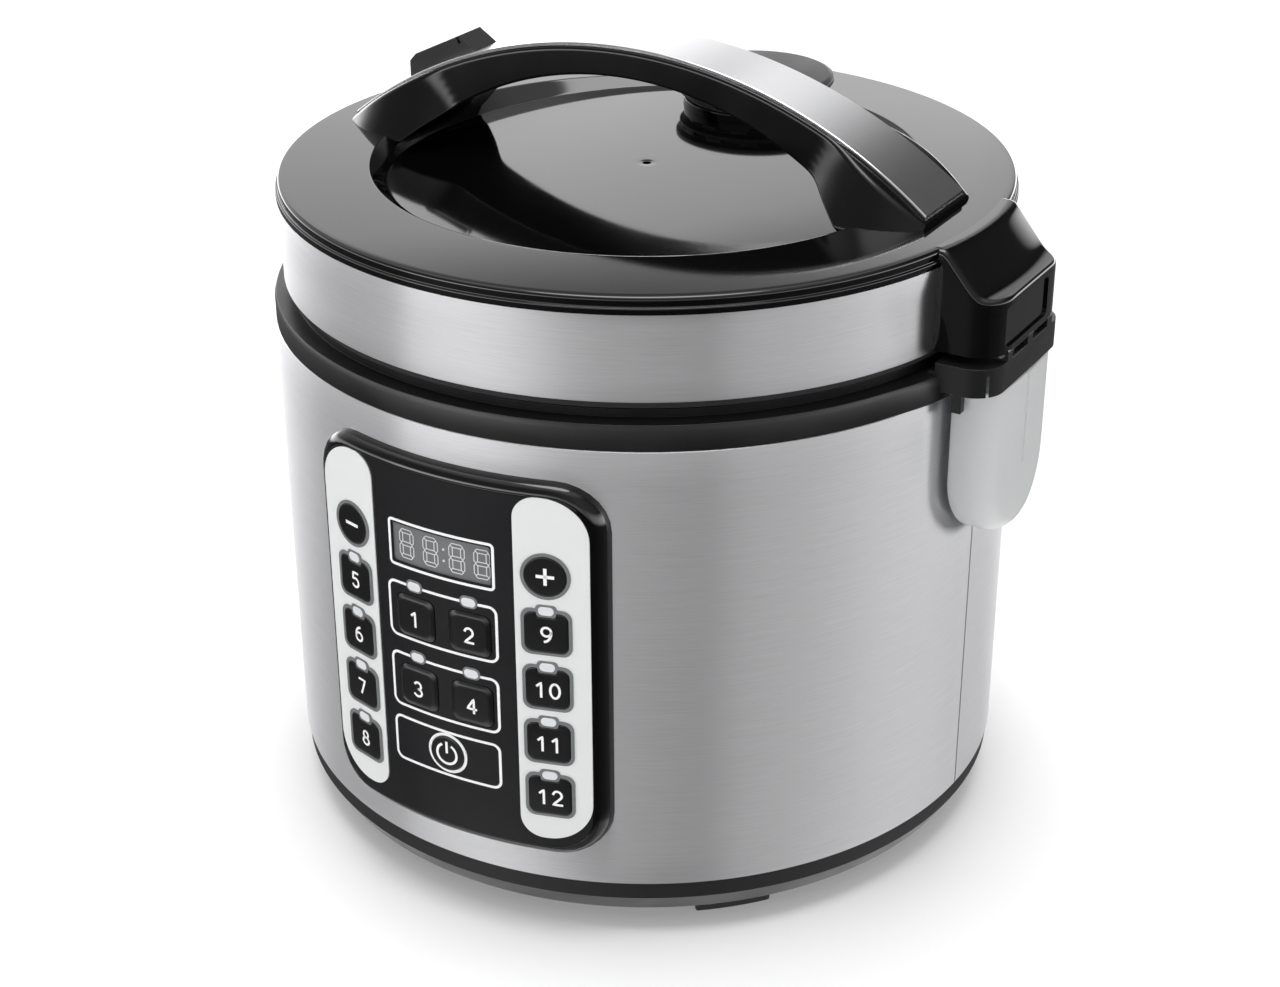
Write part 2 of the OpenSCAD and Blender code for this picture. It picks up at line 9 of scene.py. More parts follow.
import bmesh
import bpy
import numpy as np
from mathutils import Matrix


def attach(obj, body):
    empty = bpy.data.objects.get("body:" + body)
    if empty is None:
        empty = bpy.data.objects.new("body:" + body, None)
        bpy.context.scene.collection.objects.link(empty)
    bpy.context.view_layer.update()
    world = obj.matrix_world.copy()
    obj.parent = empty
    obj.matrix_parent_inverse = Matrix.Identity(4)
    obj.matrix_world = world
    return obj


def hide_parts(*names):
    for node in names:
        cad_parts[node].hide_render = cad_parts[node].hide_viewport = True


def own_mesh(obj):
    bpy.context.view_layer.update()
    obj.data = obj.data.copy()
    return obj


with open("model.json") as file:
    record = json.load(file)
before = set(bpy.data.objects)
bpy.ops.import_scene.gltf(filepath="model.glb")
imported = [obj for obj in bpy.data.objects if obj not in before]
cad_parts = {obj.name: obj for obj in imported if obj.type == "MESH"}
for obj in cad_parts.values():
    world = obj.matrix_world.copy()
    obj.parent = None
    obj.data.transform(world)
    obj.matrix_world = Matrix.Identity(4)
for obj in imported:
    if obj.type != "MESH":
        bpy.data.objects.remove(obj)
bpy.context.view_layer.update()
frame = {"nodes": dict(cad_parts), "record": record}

bl_info = {
    "name": "Slow cooker",
    "version": (1, 0, 0),
    "blender": (4, 5, 0),
    "location": "View3D > Sidebar > Cooker",
    "description": "Builds the finished surfaces and materials of a round slow cooker",
    "category": "Object",
}

MM = 0.001
RECORD = frame["record"]
BODIES = {node: body for body, nodes in RECORD["behaviour"]["bodies"].items() for node in nodes}
SLOTS = {part["node"]: part["material_slot"] for part in RECORD["subparts"]}
MATERIALS = {}

# ---------------------------------------------------------------- sizes in millimetres
BODY_R, SKIN_LOW, SKIN_HIGH = 134.0, 22.0, 188.0
SEAM_AZ, SEAM_W = 88.2, 0.6
BAND_R, BAND_LOW, BAND_HIGH = 130.1, 203.2, 232.9
LID_R, LID_TOP = 130.2, 239.8
SCOOP_R, FLOOR_TOP, FLOOR_R, WALL_SLOPE = 97.8, 237.4, 1074.4, 0.85
RING_TILT, RING_FALL = 0.029, 0.00008  # slope of the lid's ring, and its growth per mm / 2
SHEET_T, LID_T, PIN_R = 0.8, 2.5, 1.6
# Radius and height down the outside of the lid's top and back in under its edge.
LID_SIDE = ((LID_R, 237.6), (LID_R, 235.8), (LID_R, 235.5), (LID_R + 0.1, 235.4),
            (130.7, 235.4), (130.9, 235.3), (130.97, 235.15), (131.0, 234.9), (131.0, 233.6),
            (131.0, 233.2), (130.8, 233.05), (126.2, 233.0), (125.8, 235.5), (101, 235.5),
            (96, 229.6), (88, 229.6))
DRAW_R, COLLAR_AZ = 131.0, 16  # the second is half the collar's width, in degrees
INLET_HALF, INLET_LOW, INLET_HIGH = 15.6, 33.6, 56.4
VENT_Y, WELL_R = 81.0, 27.1
HANDLE_R, HANDLE_Z, HANDLE_HALF = 187.0, 95.5, 13.9
UNDER_R, UNDER_Z, UNDER_LOW, SIDE_R, TRIM_T = 131.5, 140.0, 231.8, 3000.0, 1.2
FOOT_X, FOOT_R, FOOT_SLOPE = 93.0, 27.8, 0.55
# Corners (x, z) and half width of the opening for the release button.
BUTTON_WELL, BUTTON_HALF = ((-99.5, 246.0), (-65.6, 255.8), (-65.6, 285.0), (-99.5, 285.0)), 7.4
# Section of the steel strip in half widths and in thicknesses.
STRIP_SECTION = ((1, 0.0), (1, 0.55), (0.985, 0.88), (0.97, 1.0), (-0.97, 1.0), (-0.985, 0.88),
                 (-1, 0.55), (-1, 0.0))
HINGE_Y, HINGE_HALF, HINGE_IN, HINGE_OUT, HINGE_LOW = -2.0, 28.5, 123.2, 149.0, 203.95
RAMP_START, RAMP_SLOPE, RAMP_END = 131.9, 1.25, 223.8  # radius, fall per mm, lowest height
CUP_HALF, CUP_LOW, CUP_TOP, CUP_IN, CUP_OUT, CUP_WALL = 26.0, 131.5, 190.4, 136.2, 149.6, 1.5
PANEL_W, PANEL_LOW, PANEL_HIGH, PANEL_R, PANEL_TURN = 111.0, 35.0, 176.5, 139.4, 1.2
PANEL_TALL, PANEL_MID, PANEL_CORNER = PANEL_HIGH - PANEL_LOW, (PANEL_HIGH + PANEL_LOW) / 2, 17
SIDE_AZ, MID_AZ = 15.7, 4.4
ROUND_Z, POWER_Z = 144.7, 68.1
ROW_Z = (123.6, 102.4, 81.3, 60.1)
MID_Z = (118.1, 90.8)
# Width, corner radius and steps in each corner of the keys without a notch.
KEY_SHAPES = {"mid": (15.6, 3.0, 6), "round": (14.4, 50.0, 10), "power": (13.2, 50.0, 10)}
DISPLAY_X, DISPLAY_Z, COLON_X, COLON_Z = -0.1, 144.8, 1.4, (-2.0, 2.2)
FIGURE_X = (-13.7, -3.8, 6.5, 15.9)
# Middle x and z, width, height, corner radius and line width of the printed frames.
PRINTED_FRAMES = ((-0.1, 144.8, 41.4, 17.6, 1.8, 0.95), (-0.6, 119.4, 43.4, 21.6, 3.2, 0.95),
                  (-0.8, 91.8, 43.4, 21.6, 3.2, 0.95), (-1.0, 67.8, 43.4, 18.2, 3.2, 0.95))


# ---------------------------------------------------------------- helpers
def hex_linear(code):
    """An sRGB colour such as #C8C8CA as the three linear numbers that a shader takes."""
    srgb = np.array([int(code[i:i + 2], 16) for i in (1, 3, 5)]) / 255.0
    linear = np.where(srgb <= 0.04045, srgb / 12.92, ((srgb + 0.055) / 1.055) ** 2.4)
    return tuple(linear.tolist())


def paint(value, shade=1.0):
    """A shader colour from an sRGB code or from linear numbers, times a shade."""
    rgb = hex_linear(value) if isinstance(value, str) else tuple(value)[:3]
    return (*(min(c * shade, 1.0) for c in rgb), 1.0)


def add(tree, kind, inputs=None, **settings):
    """Adds one shader node with its settings; an input takes a link or a plain value."""
    node = tree.nodes.new("ShaderNode" + kind)
    for name, value in settings.items():
        setattr(node, name, value)
    for key, value in (inputs or {}).items():
        if isinstance(value, bpy.types.NodeSocket):
            tree.links.new(value, node.inputs[key])
        else:
            node.inputs[key].default_value = value
    return node


def blank_material(name):
    """Lists a new material and gives its empty node tree, output node and Object coordinates."""
    mat = MATERIALS[name] = bpy.data.materials.new(name)
    mat.use_nodes = True
    tree = mat.node_tree
    tree.nodes.clear()
    return tree, add(tree, "OutputMaterial"), add(tree, "TexCoord").outputs["Object"]


def link_object(name, mesh):
    """Puts a mesh into the scene as an object at the origin."""
    obj = bpy.data.objects.new(name, mesh)
    bpy.context.scene.collection.objects.link(obj)
    return obj


def solid(name, points, faces, uv=None):
    """A bare object from points in millimetres: doubles merged, faces turned outwards."""
    mesh = bpy.data.meshes.new(name)
    mesh.from_pydata((np.asarray(points).reshape(-1, 3) * MM).tolist(), [], faces)
    if uv is not None:
        layer = mesh.uv_layers.new(name="surface")
        index = np.empty(len(mesh.loops), np.int32)
        mesh.loops.foreach_get("vertex_index", index)
        layer.data.foreach_set("uv", np.asarray(uv, np.float32)[index].ravel())
    clean(mesh)
    return link_object(name, mesh)


def make_mesh(name, points, faces, uv=None, **piece):
    """A finished piece from points in millimetres."""
    return finish_piece(solid(name, points, faces, uv), **piece)


def clean(mesh, join_flat=False):
    """Merges doubles and turns the faces of each closed shell outwards.

    Slivers are removed, or with join_flat the triangles of each flat face are joined.
    """
    work = bmesh.new()
    work.from_mesh(mesh)
    bmesh.ops.remove_doubles(work, verts=work.verts, dist=1e-6)
    if join_flat:
        bmesh.ops.dissolve_limit(work, angle_limit=radians(0.2), verts=work.verts,
                                 edges=work.edges)
    else:
        bmesh.ops.dissolve_degenerate(work, edges=work.edges, dist=1e-7)
    bmesh.ops.recalc_face_normals(work, faces=work.faces)
    work.to_mesh(mesh)
    work.free()


def finish_piece(obj, material, replaces=None, body="base", slot=None, sharp=35.0):
    """Shading, material and the CAD node that a piece stands for, if any.

    A piece that stands for a node has the node's body and slot, others have those given.
    """
    smooth(obj, sharp)
    obj.data.materials.clear()
    obj.data.materials.append(MATERIALS[material])
    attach(obj, BODIES.get(replaces, body))
    SLOTS.get(replaces, slot)
    if replaces:
        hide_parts(replaces)
    return obj


def smooth(obj, sharp=35.0):
    """Smooth shading, but for edges sharper than an angle in degrees."""
    obj.data.shade_smooth()
    obj.data.set_sharp_from_angle(angle=radians(sharp))


def grid_faces(rows, cols, wrap_rows=False):
    """Quads between neighbours of a grid of points numbered row by row."""
    r = np.arange(rows if wrap_rows else rows - 1)
    c = np.arange(cols)
    r, c = np.meshgrid(r, c, indexing="ij")
    r1, c1 = (r + 1) % rows, (c + 1) % cols
    quads = np.stack([r * cols + c, r * cols + c1, r1 * cols + c1, r1 * cols + c], -1)
    return quads.reshape(-1, 4).tolist()


def capped(rows, cols):
    """Faces of a bar: quads between its sections and one face over each end."""
    return grid_faces(rows, cols) + [list(range(cols)),
                                     list(range((rows - 1) * cols, rows * cols))]


def rounded(corners, steps=6):
    """A closed outline with each corner (x, y, radius) replaced by an arc.

    The arc starts and ends radius / tan(half the corner's angle) from the corner and is
    swept about the point that lies radius / sin(half the angle) along the bisector.
    """
    c = np.asarray(corners, float)
    p, radius = c[:, :2], np.maximum(c[:, 2:3], 1e-4)
    a = np.roll(p, 1, 0) - p
    b = np.roll(p, -1, 0) - p
    a /= np.linalg.norm(a, axis=1, keepdims=True)
    b /= np.linalg.norm(b, axis=1, keepdims=True)
    half = np.arccos(np.clip((a * b).sum(1, keepdims=True), -1, 1)) / 2
    half = np.minimum(half, pi / 2 - 1e-5)
    side = radius / np.tan(half)
    bisector = (a + b) / np.maximum(np.linalg.norm(a + b, axis=1, keepdims=True), 1e-9)
    centre = p + bisector * radius / np.sin(half)
    start, end = p + a * side - centre, p + b * side - centre
    turn = (pi - 2 * half)[:, None]
    k = np.linspace(0, 1, steps + 1)[None, :, None]
    arc = np.sin((1 - k) * turn) * start[:, None] + np.sin(k * turn) * end[:, None]
    return (centre[:, None] + arc / np.sin(turn)).reshape(-1, 2)


def densify(outline, step, closed=True):
    """Adds points to an outline so that none of its sides is longer than step."""
    p = np.asarray(outline, float)
    q = np.roll(p, -1, 0) if closed else p[1:]
    s = p if closed else p[:-1]
    count = np.maximum(np.ceil(np.linalg.norm(q - s, axis=1) / step).astype(int), 1)
    index = np.repeat(np.arange(len(s)), count)
    part = (np.arange(count.sum()) - np.repeat(np.cumsum(count) - count, count)) / count[index]
    full = s[index] + (q - s)[index] * part[:, None]
    return full if closed else np.vstack([full, p[-1]])


def lathe(name, profile, turns, centre=(0, 0), start=0.0, sweep=360.0, **piece):
    """Revolves a closed profile of (radius, height) points about a vertical axis.

    A point goes to (r sin a, -r cos a, z); azimuth a runs from -Y towards +X. The UV map is the
    arc length at the profile's largest radius and the length along the profile, in metres.
    """
    profile = np.asarray(profile, float)
    whole = sweep >= 360.0
    rows = turns if whole else turns + 1
    angle = np.radians(start) + np.radians(sweep) * np.arange(rows) / turns
    a, r = np.meshgrid(angle, profile[:, 0], indexing="ij")
    z = np.broadcast_to(profile[:, 1], r.shape)
    points = np.stack([r * np.sin(a) + centre[0], -r * np.cos(a) + centre[1], z], -1)
    steps = np.linalg.norm(np.diff(profile, axis=0), axis=1)
    along_profile = np.concatenate([[0], np.cumsum(steps)]) * MM
    uv = np.stack([a * max(r.max(), 1) * MM, np.broadcast_to(along_profile, r.shape)], -1)
    n = len(profile)
    faces = grid_faces(rows, n, wrap_rows=True) if whole else capped(rows, n)
    return make_mesh(name, points, faces, uv.reshape(-1, 2), **piece)


def rrect_loop(w, h, r, steps=8):
    """Points round a rectangle with round corners, the same number whatever its size."""
    r = min(r, w / 2 - 1e-3, h / 2 - 1e-3)
    quarter = np.linspace(0, pi / 2, steps + 1)
    angle = (quarter[None, :] + (np.arange(4) * pi / 2)[:, None]).ravel()
    sx = np.repeat([1, -1, -1, 1], steps + 1)
    sy = np.repeat([1, 1, -1, -1], steps + 1)
    return np.stack([sx * (w / 2 - r) + r * np.cos(angle),
                     sy * (h / 2 - r) + r * np.sin(angle)], 1)


def turned(points, degrees):
    """Points turned about the vertical axis through the origin."""
    x, y, z = points.T
    c, s = np.cos(radians(degrees)), np.sin(radians(degrees))
    return np.column_stack([c * x - s * y, s * x + c * y, z])


def at_places(axis, flat, places):
    """A flat outline as sections at several places along the axis that it lacks."""
    return [np.insert(np.asarray(flat, float), axis, place, axis=1) for place in places]


def pad_parts(rings, shape, place):
    """Points and faces of a closed cushion: rings of (inset, height) of one outline.

    shape(inset) gives the flat outline drawn in by inset, with a constant point count, and
    place(flat, height) puts it on the object. The first and last rings are closed by a face.
    """
    loops = [place(shape(inset), height) for inset, height in rings]
    return np.vstack(loops), capped(len(loops), len(loops[0]))


def ring_parts(loops):
    """A closed ring through several loops of points, each with the same number of points."""
    return np.vstack(loops), grid_faces(len(loops), len(loops[0]), wrap_rows=True)


def raised_parts(outer, inner, low, high, place):
    """A raised line between two outlines, from one height to another."""
    return ring_parts([place(flat, height) for flat, height in
                       ((outer, low), (outer, high), (inner, high), (inner, low))])


def join_parts(parts):
    """Several (points, faces) pairs as one."""
    faces, start = [], 0
    for points, part_faces in parts:
        faces += [[i + start for i in face] for face in part_faces]
        start += len(points)
    return np.vstack([points for points, _ in parts]), faces


def box_parts(low, high, turn=0.0, centre=(0.0, 0.0)):
    """A box from its low and high corners, turned and then moved to a centre."""
    corners = [axis.ravel() for axis in np.meshgrid(*zip(low, high), indexing="ij")]
    points = turned(np.column_stack(corners), turn) + np.array([*centre, 0.0])
    return points, [[0, 1, 3, 2], [4, 6, 7, 5], [0, 4, 5, 1], [2, 3, 7, 6], [0, 2, 6, 4],
                    [1, 5, 7, 3]]


def refined(node, name, width, segments=3, **piece):
    """A copy of a CAD node with its triangles joined into faces and its edges rounded.

    width is the radius, in millimetres, that the mould or press leaves on the edges.
    """
    mesh = frame["nodes"][node].data.copy()
    mesh.name = name
    if "custom_normal" in mesh.attributes:
        mesh.attributes.remove(mesh.attributes["custom_normal"])
    clean(mesh, join_flat=True)
    obj = link_object(name, mesh)
    bevel = obj.modifiers.new("edges", "BEVEL")
    bevel.width = width * MM
    bevel.segments = segments
    bevel.limit_method = "ANGLE"
    bevel.angle_limit = radians(28.0)
    bevel.use_clamp_overlap = True
    bevel.harden_normals = True
    return finish_piece(obj, sharp=40.0, replaces=node, **piece)


def cut(obj, cutter, operation="DIFFERENCE"):
    """Takes the cutter's shape out of a piece, or keeps only that, and removes the cutter."""
    hole = obj.modifiers.new("hole", "BOOLEAN")
    hole.operation, hole.object, hole.solver = operation, cutter, "EXACT"
    graph = bpy.context.evaluated_depsgraph_get()
    mesh = bpy.data.meshes.new_from_object(obj.evaluated_get(graph))
    if not mesh.polygons:
        raise RuntimeError("the cut left nothing of " + obj.name)
    obj.modifiers.clear()
    old, obj.data = obj.data, mesh
    cutter_mesh = cutter.data
    bpy.data.objects.remove(cutter)
    for used in (old, cutter_mesh):
        bpy.data.meshes.remove(used)


def bar_cutter(sections):
    """A cutter through sections that have the same number of points."""
    return solid("cutter", np.vstack(sections), capped(len(sections), len(sections[0])))


def parts_cutter(parts):
    """A cutter from points and faces."""
    return solid("cutter", *parts)


def setting(name):
    """A size that a user may change, in millimetres."""
    return getattr(bpy.context.scene.cooker_sizes, name) / MM


def dress(names, material):
    """Gives CAD nodes a material in place of their plain one."""
    for name in names:
        obj = frame["nodes"][name]
        for slot in obj.material_slots:
            slot.material = MATERIALS[material]


# ---------------------------------------------------------------- materials
def finish_material(tree, out, colours, tint, rough, wear, relief, depth_mm, inputs,
                    limits=(0.0, 1.0), strength=1.0):
    """The shader that every finish ends in, driven by three patterns.

    tint mixes the two colours, wear moves the roughness from its low to its high value as it
    runs between the limits, and relief is a fine grain depth_mm deep.
    """
    mix = add(tree, "Mix", {"Factor": tint, 6: paint(colours[0]), 7: paint(colours[1])},
              data_type="RGBA")
    rough = add(tree, "MapRange", {"Value": wear, "From Min": limits[0], "From Max": limits[1],
                                   "To Min": rough[0], "To Max": rough[1]})
    bump = add(tree, "Bump", {"Height": relief, "Strength": strength,
                              "Distance": depth_mm * MM})
    shader = add(tree, "BsdfPrincipled",
                 {"Base Color": mix.outputs[2], "Roughness": rough.outputs["Result"],
                  "Normal": bump.outputs["Normal"], **inputs})
    tree.links.new(shader.outputs["BSDF"], out.inputs["Surface"])


def grained_material(name, colours, rough, slow, fine, depth_mm, inputs, wear=0,
                     limits=(0.0, 1.0)):
    """A finish with a slow noise that mixes its colours and a fine noise for its grain.

    Each noise is (size in millimetres, detail, roughness); wear is the one that moves the
    roughness of the finish, 0 for the slow one and 1 for the fine one.
    """
    tree, out, coord = blank_material(name)
    patterns = []
    for size_mm, detail, fade in (slow, fine):
        noise = add(tree, "TexNoise", {"Vector": coord, "Scale": 1000.0 / size_mm,
                                       "Detail": detail, "Roughness": fade})
        patterns.append(noise.outputs["Fac"])
    finish_material(tree, out, colours, patterns[0], rough, patterns[wear], patterns[1],
                    depth_mm, inputs, limits)


def moulded_plastic(name, colour, colour_2, roughness, spread, grain_mm, grain_depth, ior,
                    mottle_mm=26.0):
    """Injection moulded plastic: even colour with a slow mottle and a spark-eroded grain."""
    grained_material(name, (colour, colour_2), (roughness - spread, roughness + spread),
                     (mottle_mm, 3.0, 0.55), (grain_mm, 2.0, 0.6), grain_depth, {"IOR": ior},
                     limits=(0.3, 0.7))


def cast_metal(name, colour, colour_2, roughness, grain_mm, grain_depth):
    """Cast, turned or plated metal with a fine even grain."""
    grained_material(name, (colour, colour_2), (roughness - 0.06, roughness + 0.06),
                     (18.0, 4.0, 0.5), (grain_mm, 3.0, 0.7), grain_depth, {"Metallic": 1.0},
                     wear=1)


def milky_plastic(name, colour):
    """Translucent polypropylene: light goes in, is scattered and comes out softly."""
    grained_material(name, (colour, "#F6F8FA"), (0.3, 0.42), (22.0, 3.0, 0.5), (0.5, 2.0, 0.5),
                     0.008, {"IOR": 1.49, "Transmission Weight": 0.35, "Subsurface Weight": 0.8,
                             "Subsurface Radius": (1.0, 1.0, 1.0), "Subsurface Scale": 0.006})


def brushed_metal(name, colour, colour_2, grain, spread, lines_mm, length_mm, roughness,
                  anisotropic=1.0):
    """Metal brushed along one way, so that light spreads across the brush lines.

    grain is "round" for lines about the vertical axis or "x" for lines along X, spread is the
    way across the lines, in the piece's own axes, lines_mm the width of a visible line.
    """
    tree, out, coord = blank_material(name)
    scale = np.array([1 / length_mm, 1 / lines_mm, 1 / lines_mm])
    if grain == "round":
        part = add(tree, "SeparateXYZ", {"Vector": coord})
        az = add(tree, "Math", {0: part.outputs["X"], 1: part.outputs["Y"]}, operation="ARCTAN2")
        arc = add(tree, "Math", {0: az.outputs[0], 1: BODY_R * MM}, operation="MULTIPLY")
        coord = add(tree, "CombineXYZ", {"X": arc.outputs[0], "Z": part.outputs["Z"]}).outputs[0]
        scale[1] = 1
    layers = []
    for size in (1.0, 3.1):
        place = add(tree, "Mapping", {"Vector": coord, "Scale": tuple(1000.0 * scale * size),
                                      "Location": (size, size, size)})
        layers.append(add(tree, "TexNoise", {"Vector": place.outputs[0], "Scale": 1.0,
                                             "Detail": 3.0, "Roughness": 0.65}))
    both = add(tree, "Math", {i: layer.outputs["Fac"] for i, layer in enumerate(layers)},
               operation="ADD")
    streak = add(tree, "MapRange", {"Value": both.outputs[0], "From Min": 0.7,
                                    "From Max": 1.3}).outputs["Result"]
    across = add(tree, "VectorTransform", {"Vector": spread}, vector_type="VECTOR",
                 convert_from="OBJECT", convert_to="WORLD")
    finish_material(tree, out, (colour, colour_2), streak,
                    (roughness - 0.03, roughness + 0.03), streak, streak, 0.004,
                    {"Metallic": 1.0, "Anisotropic": anisotropic,
                     "Tangent": across.outputs[0]}, strength=0.35)


# ---------------------------------------------------------------- settings
def colour_setting(name, code, description):
    """A colour that a user may change, from an sRGB code."""
    return bpy.props.FloatVectorProperty(name=name, description=description, subtype="COLOR",
                                         size=3, default=hex_linear(code), min=0, max=1)


def length_setting(name, value, low, high, description):
    """A length in metres that a user may change, from millimetres."""
    return bpy.props.FloatProperty(name=name, description=description, default=value * MM,
                                   min=low * MM, max=high * MM, subtype="DISTANCE",
                                   unit="LENGTH", precision=5)


class CookerFinish(bpy.types.PropertyGroup):
    """Colours that a user may change."""
    steel: colour_setting("Steel", "#DEDEE0", "Colour of the brushed steel")
    silver: colour_setting("Silver", "#E4E5E5", "Colour of the strips beside the keys")
    gloss: colour_setting("Gloss black", "#040405", "Colour of the polished black plastic")
    satin: colour_setting("Satin black", "#0F0F10", "Colour of the satin black plastic")
    milky: colour_setting("Cup", "#F2F5F7", "Colour of the translucent drip cup")
    steel_roughness: bpy.props.FloatProperty(
        name="Steel roughness", description="How far the brushed steel spreads light",
        default=0.37, min=0.1, max=0.8)


class CookerSizes(bpy.types.PropertyGroup):
    """Sizes of the finishing detail."""
    lid_edge: length_setting("Lid edge", 1.3, 0.4, 2.0, "Radius on the edge of the lid")
    handle_edge: length_setting("Handle edge", 1.5, 0.3, 3.0, "Radius on the handle's top edges")
    cup_edge: length_setting("Cup edge", 7.5, 2.0, 9.0, "Radius on the edge of the drip cup")
    panel_edge: length_setting("Panel edge", 4.0, 1.0, 5.0, "Radius on the edge of the bezel")
    key_height: length_setting("Key height", 0.8, 0.3, 0.9, "How far the keys stand out")


def make_finishes():
    """All the materials of the cooker."""
    look = bpy.context.scene.cooker_finish
    steel, steel_2, rough = paint(look.steel, 0.86), look.steel, look.steel_roughness
    # Brushed stainless steel sheet: lines run round the body and spread light up and down.
    brushed_metal("brushed_steel_sheet", steel, steel_2, "round", (0, 0, 1), 0.42, 30.0, rough)
    # Brushed steel strip on the handle: lines run along it.
    brushed_metal("brushed_steel_strip", steel, steel_2, "x", (0, 1, 0), 0.4, 30.0, 0.6 * rough,
                  0.65)
    # Each row: colour and mottle colour, roughness and its spread, the grain's width and depth in
    # millimetres, index of refraction and, if not 26, the mottle's width in millimetres.
    plastics = {
        # Polished black ABS: a deep mirror gloss.
        "polished_black_abs": (look.gloss, paint(look.gloss, 1.3), 0.06, 0.012, 3.0, 0.0012,
                               1.54),
        # Satin black ABS of the handle: a soft sheen without a visible grain.
        "satin_black_abs": (look.gloss, paint(look.gloss, 1.3), 0.2, 0.03, 0.9, 0.002, 1.45),
        # Satin black polypropylene: a soft broad sheen with a fine grain.
        "satin_black_polypropylene": (look.satin, paint(look.satin, 1.25), 0.36, 0.05, 0.7, 0.006,
                                      1.47),
        # Textured black plastic of the base, duller and coarser.
        "matt_black_polypropylene": ("#151516", "#1A1A1B", 0.5, 0.05, 0.9, 0.015, 1.47),
        # Black rubber feet.
        "black_rubber": ("#1C1C1D", "#222223", 0.75, 0.05, 0.5, 0.03, 1.5),
        # Silver painted plastic strips: flat and nearly white.
        "silver_painted_plastic": (look.silver, paint(look.silver, 0.94), 0.5, 0.04, 0.35, 0.004,
                                   1.5),
        # Printed polyester film of the keypad: black and softly glossy.
        "printed_black_film": ("#1B1B1D", "#1F1F21", 0.2, 0.03, 1.2, 0.002, 1.47),
        # Rubber-like keys under the film, a little duller.
        "key_black_film": ("#0C0C0D", "#101011", 0.3, 0.04, 0.5, 0.004, 1.47),
        # Dark grey print round the keys.
        "grey_print": ("#6C6E70", "#747678", 0.4, 0.05, 0.4, 0.002, 1.5),
        # Pale lines of the figures on the display.
        "pale_print": ("#D2D4D4", "#DCDDDD", 0.42, 0.04, 0.4, 0.002, 1.5),
        # White print of frames and signs.
        "white_print": ("#F4F5F5", "#FAFAFA", 0.42, 0.04, 0.4, 0.002, 1.5),
        # White lamp lenses.
        "white_lamp_lens": ("#D9DADD", "#E2E3E6", 0.3, 0.05, 0.6, 0.004, 1.5),
        # Grey window of the display.
        "grey_display_window": ("#6B6C6E", "#7C7E80", 0.2, 0.04, 2.0, 0.002, 1.5, 9.0),
        # Grey inner lining of the lid.
        "lining_plastic": ("#232326", "#28282B", 0.5, 0.05, 0.8, 0.015, 1.5),
        # Silicone seal.
        "grey_silicone": ("#D2D2CD", "#DADAD5", 0.6, 0.05, 0.6, 0.01, 1.42),
        # Green circuit board.
        "green_board": ("#1F5A33", "#276A3D", 0.4, 0.05, 1.0, 0.01, 1.55),
        # Epoxy and plastic cases of the parts on the board.
        "dark_components": ("#24262A", "#303236", 0.45, 0.06, 0.8, 0.01, 1.55),
        # Non-stick coating of the pot: dark grey with pale specks.
        "nonstick_coating": ("#2B2C2E", "#3A3B3D", 0.45, 0.06, 0.5, 0.02, 1.45),
    }
    # Each row: colour and second colour, roughness, the grain's width and depth in millimetres.
    metals = {
        # Pressed aluminium of the liner and the inner lid: satin, slightly streaky.
        "pressed_aluminium": ("#B5B7B9", "#C3C5C6", 0.32, 0.5, 0.006),
        # Cast aluminium of the heating plate: duller, with a sandy grain.
        "cast_aluminium": ("#A9AAAB", "#B9BABB", 0.42, 0.8, 0.02),
        # Zinc plated steel of screws, pins and springs: bright.
        "plated_steel": ("#B8BABC", "#C8CACB", 0.28, 0.4, 0.003),
        # Heat-darkened sheath of the heating element.
        "heater_sheath": ("#7B7D80", "#8D8F92", 0.45, 0.6, 0.01),
        # Mica band with a brassy sheen.
        "mica_band": ("#B39A68", "#C6AE7A", 0.5, 0.6, 0.01),
        # Drawn brass of the mains pins.
        "contact_brass": ("#C19D4C", "#CFAE62", 0.3, 0.4, 0.003),
    }
    for name, row in plastics.items():
        moulded_plastic(name, *row)
    for name, row in metals.items():
        cast_metal(name, *row)
    milky_plastic("milky_polypropylene", look.milky)


# ---------------------------------------------------------------- body
def sheet_profile(radius, low, high, outer_top, inner_top, step):
    """Section of a sheet wall with rounded edges, in pieces no longer than step."""
    inside = radius - SHEET_T
    return densify(rounded([(inside, low, 0.25), (radius, low, 0.4), (radius, high, outer_top),
                            (inside, high, inner_top)], 4), step)


def draw_in(ring):
    """Makes the ring flush with the body: past DRAW_R from the axis, 0.66 of the distance.

    The change fades out within 8 degrees towards the hinge's collar.
    """
    points = np.empty(3 * len(ring.data.vertices))
    ring.data.vertices.foreach_get("co", points)
    points = points.reshape(-1, 3)
    r = np.hypot(points[:, 0], points[:, 1])
    from_hinge = np.abs(np.degrees(np.arctan2(points[:, 0], -points[:, 1])) - 90)
    share = np.clip((from_hinge - COLLAR_AZ) / 8, 0, 1)
    past = np.maximum(r - DRAW_R * MM, 0)
    points[:, :2] *= (1 - share * 0.34 * past / r)[:, None]
    ring.data.vertices.foreach_set("co", points.ravel())
    ring.data.update()


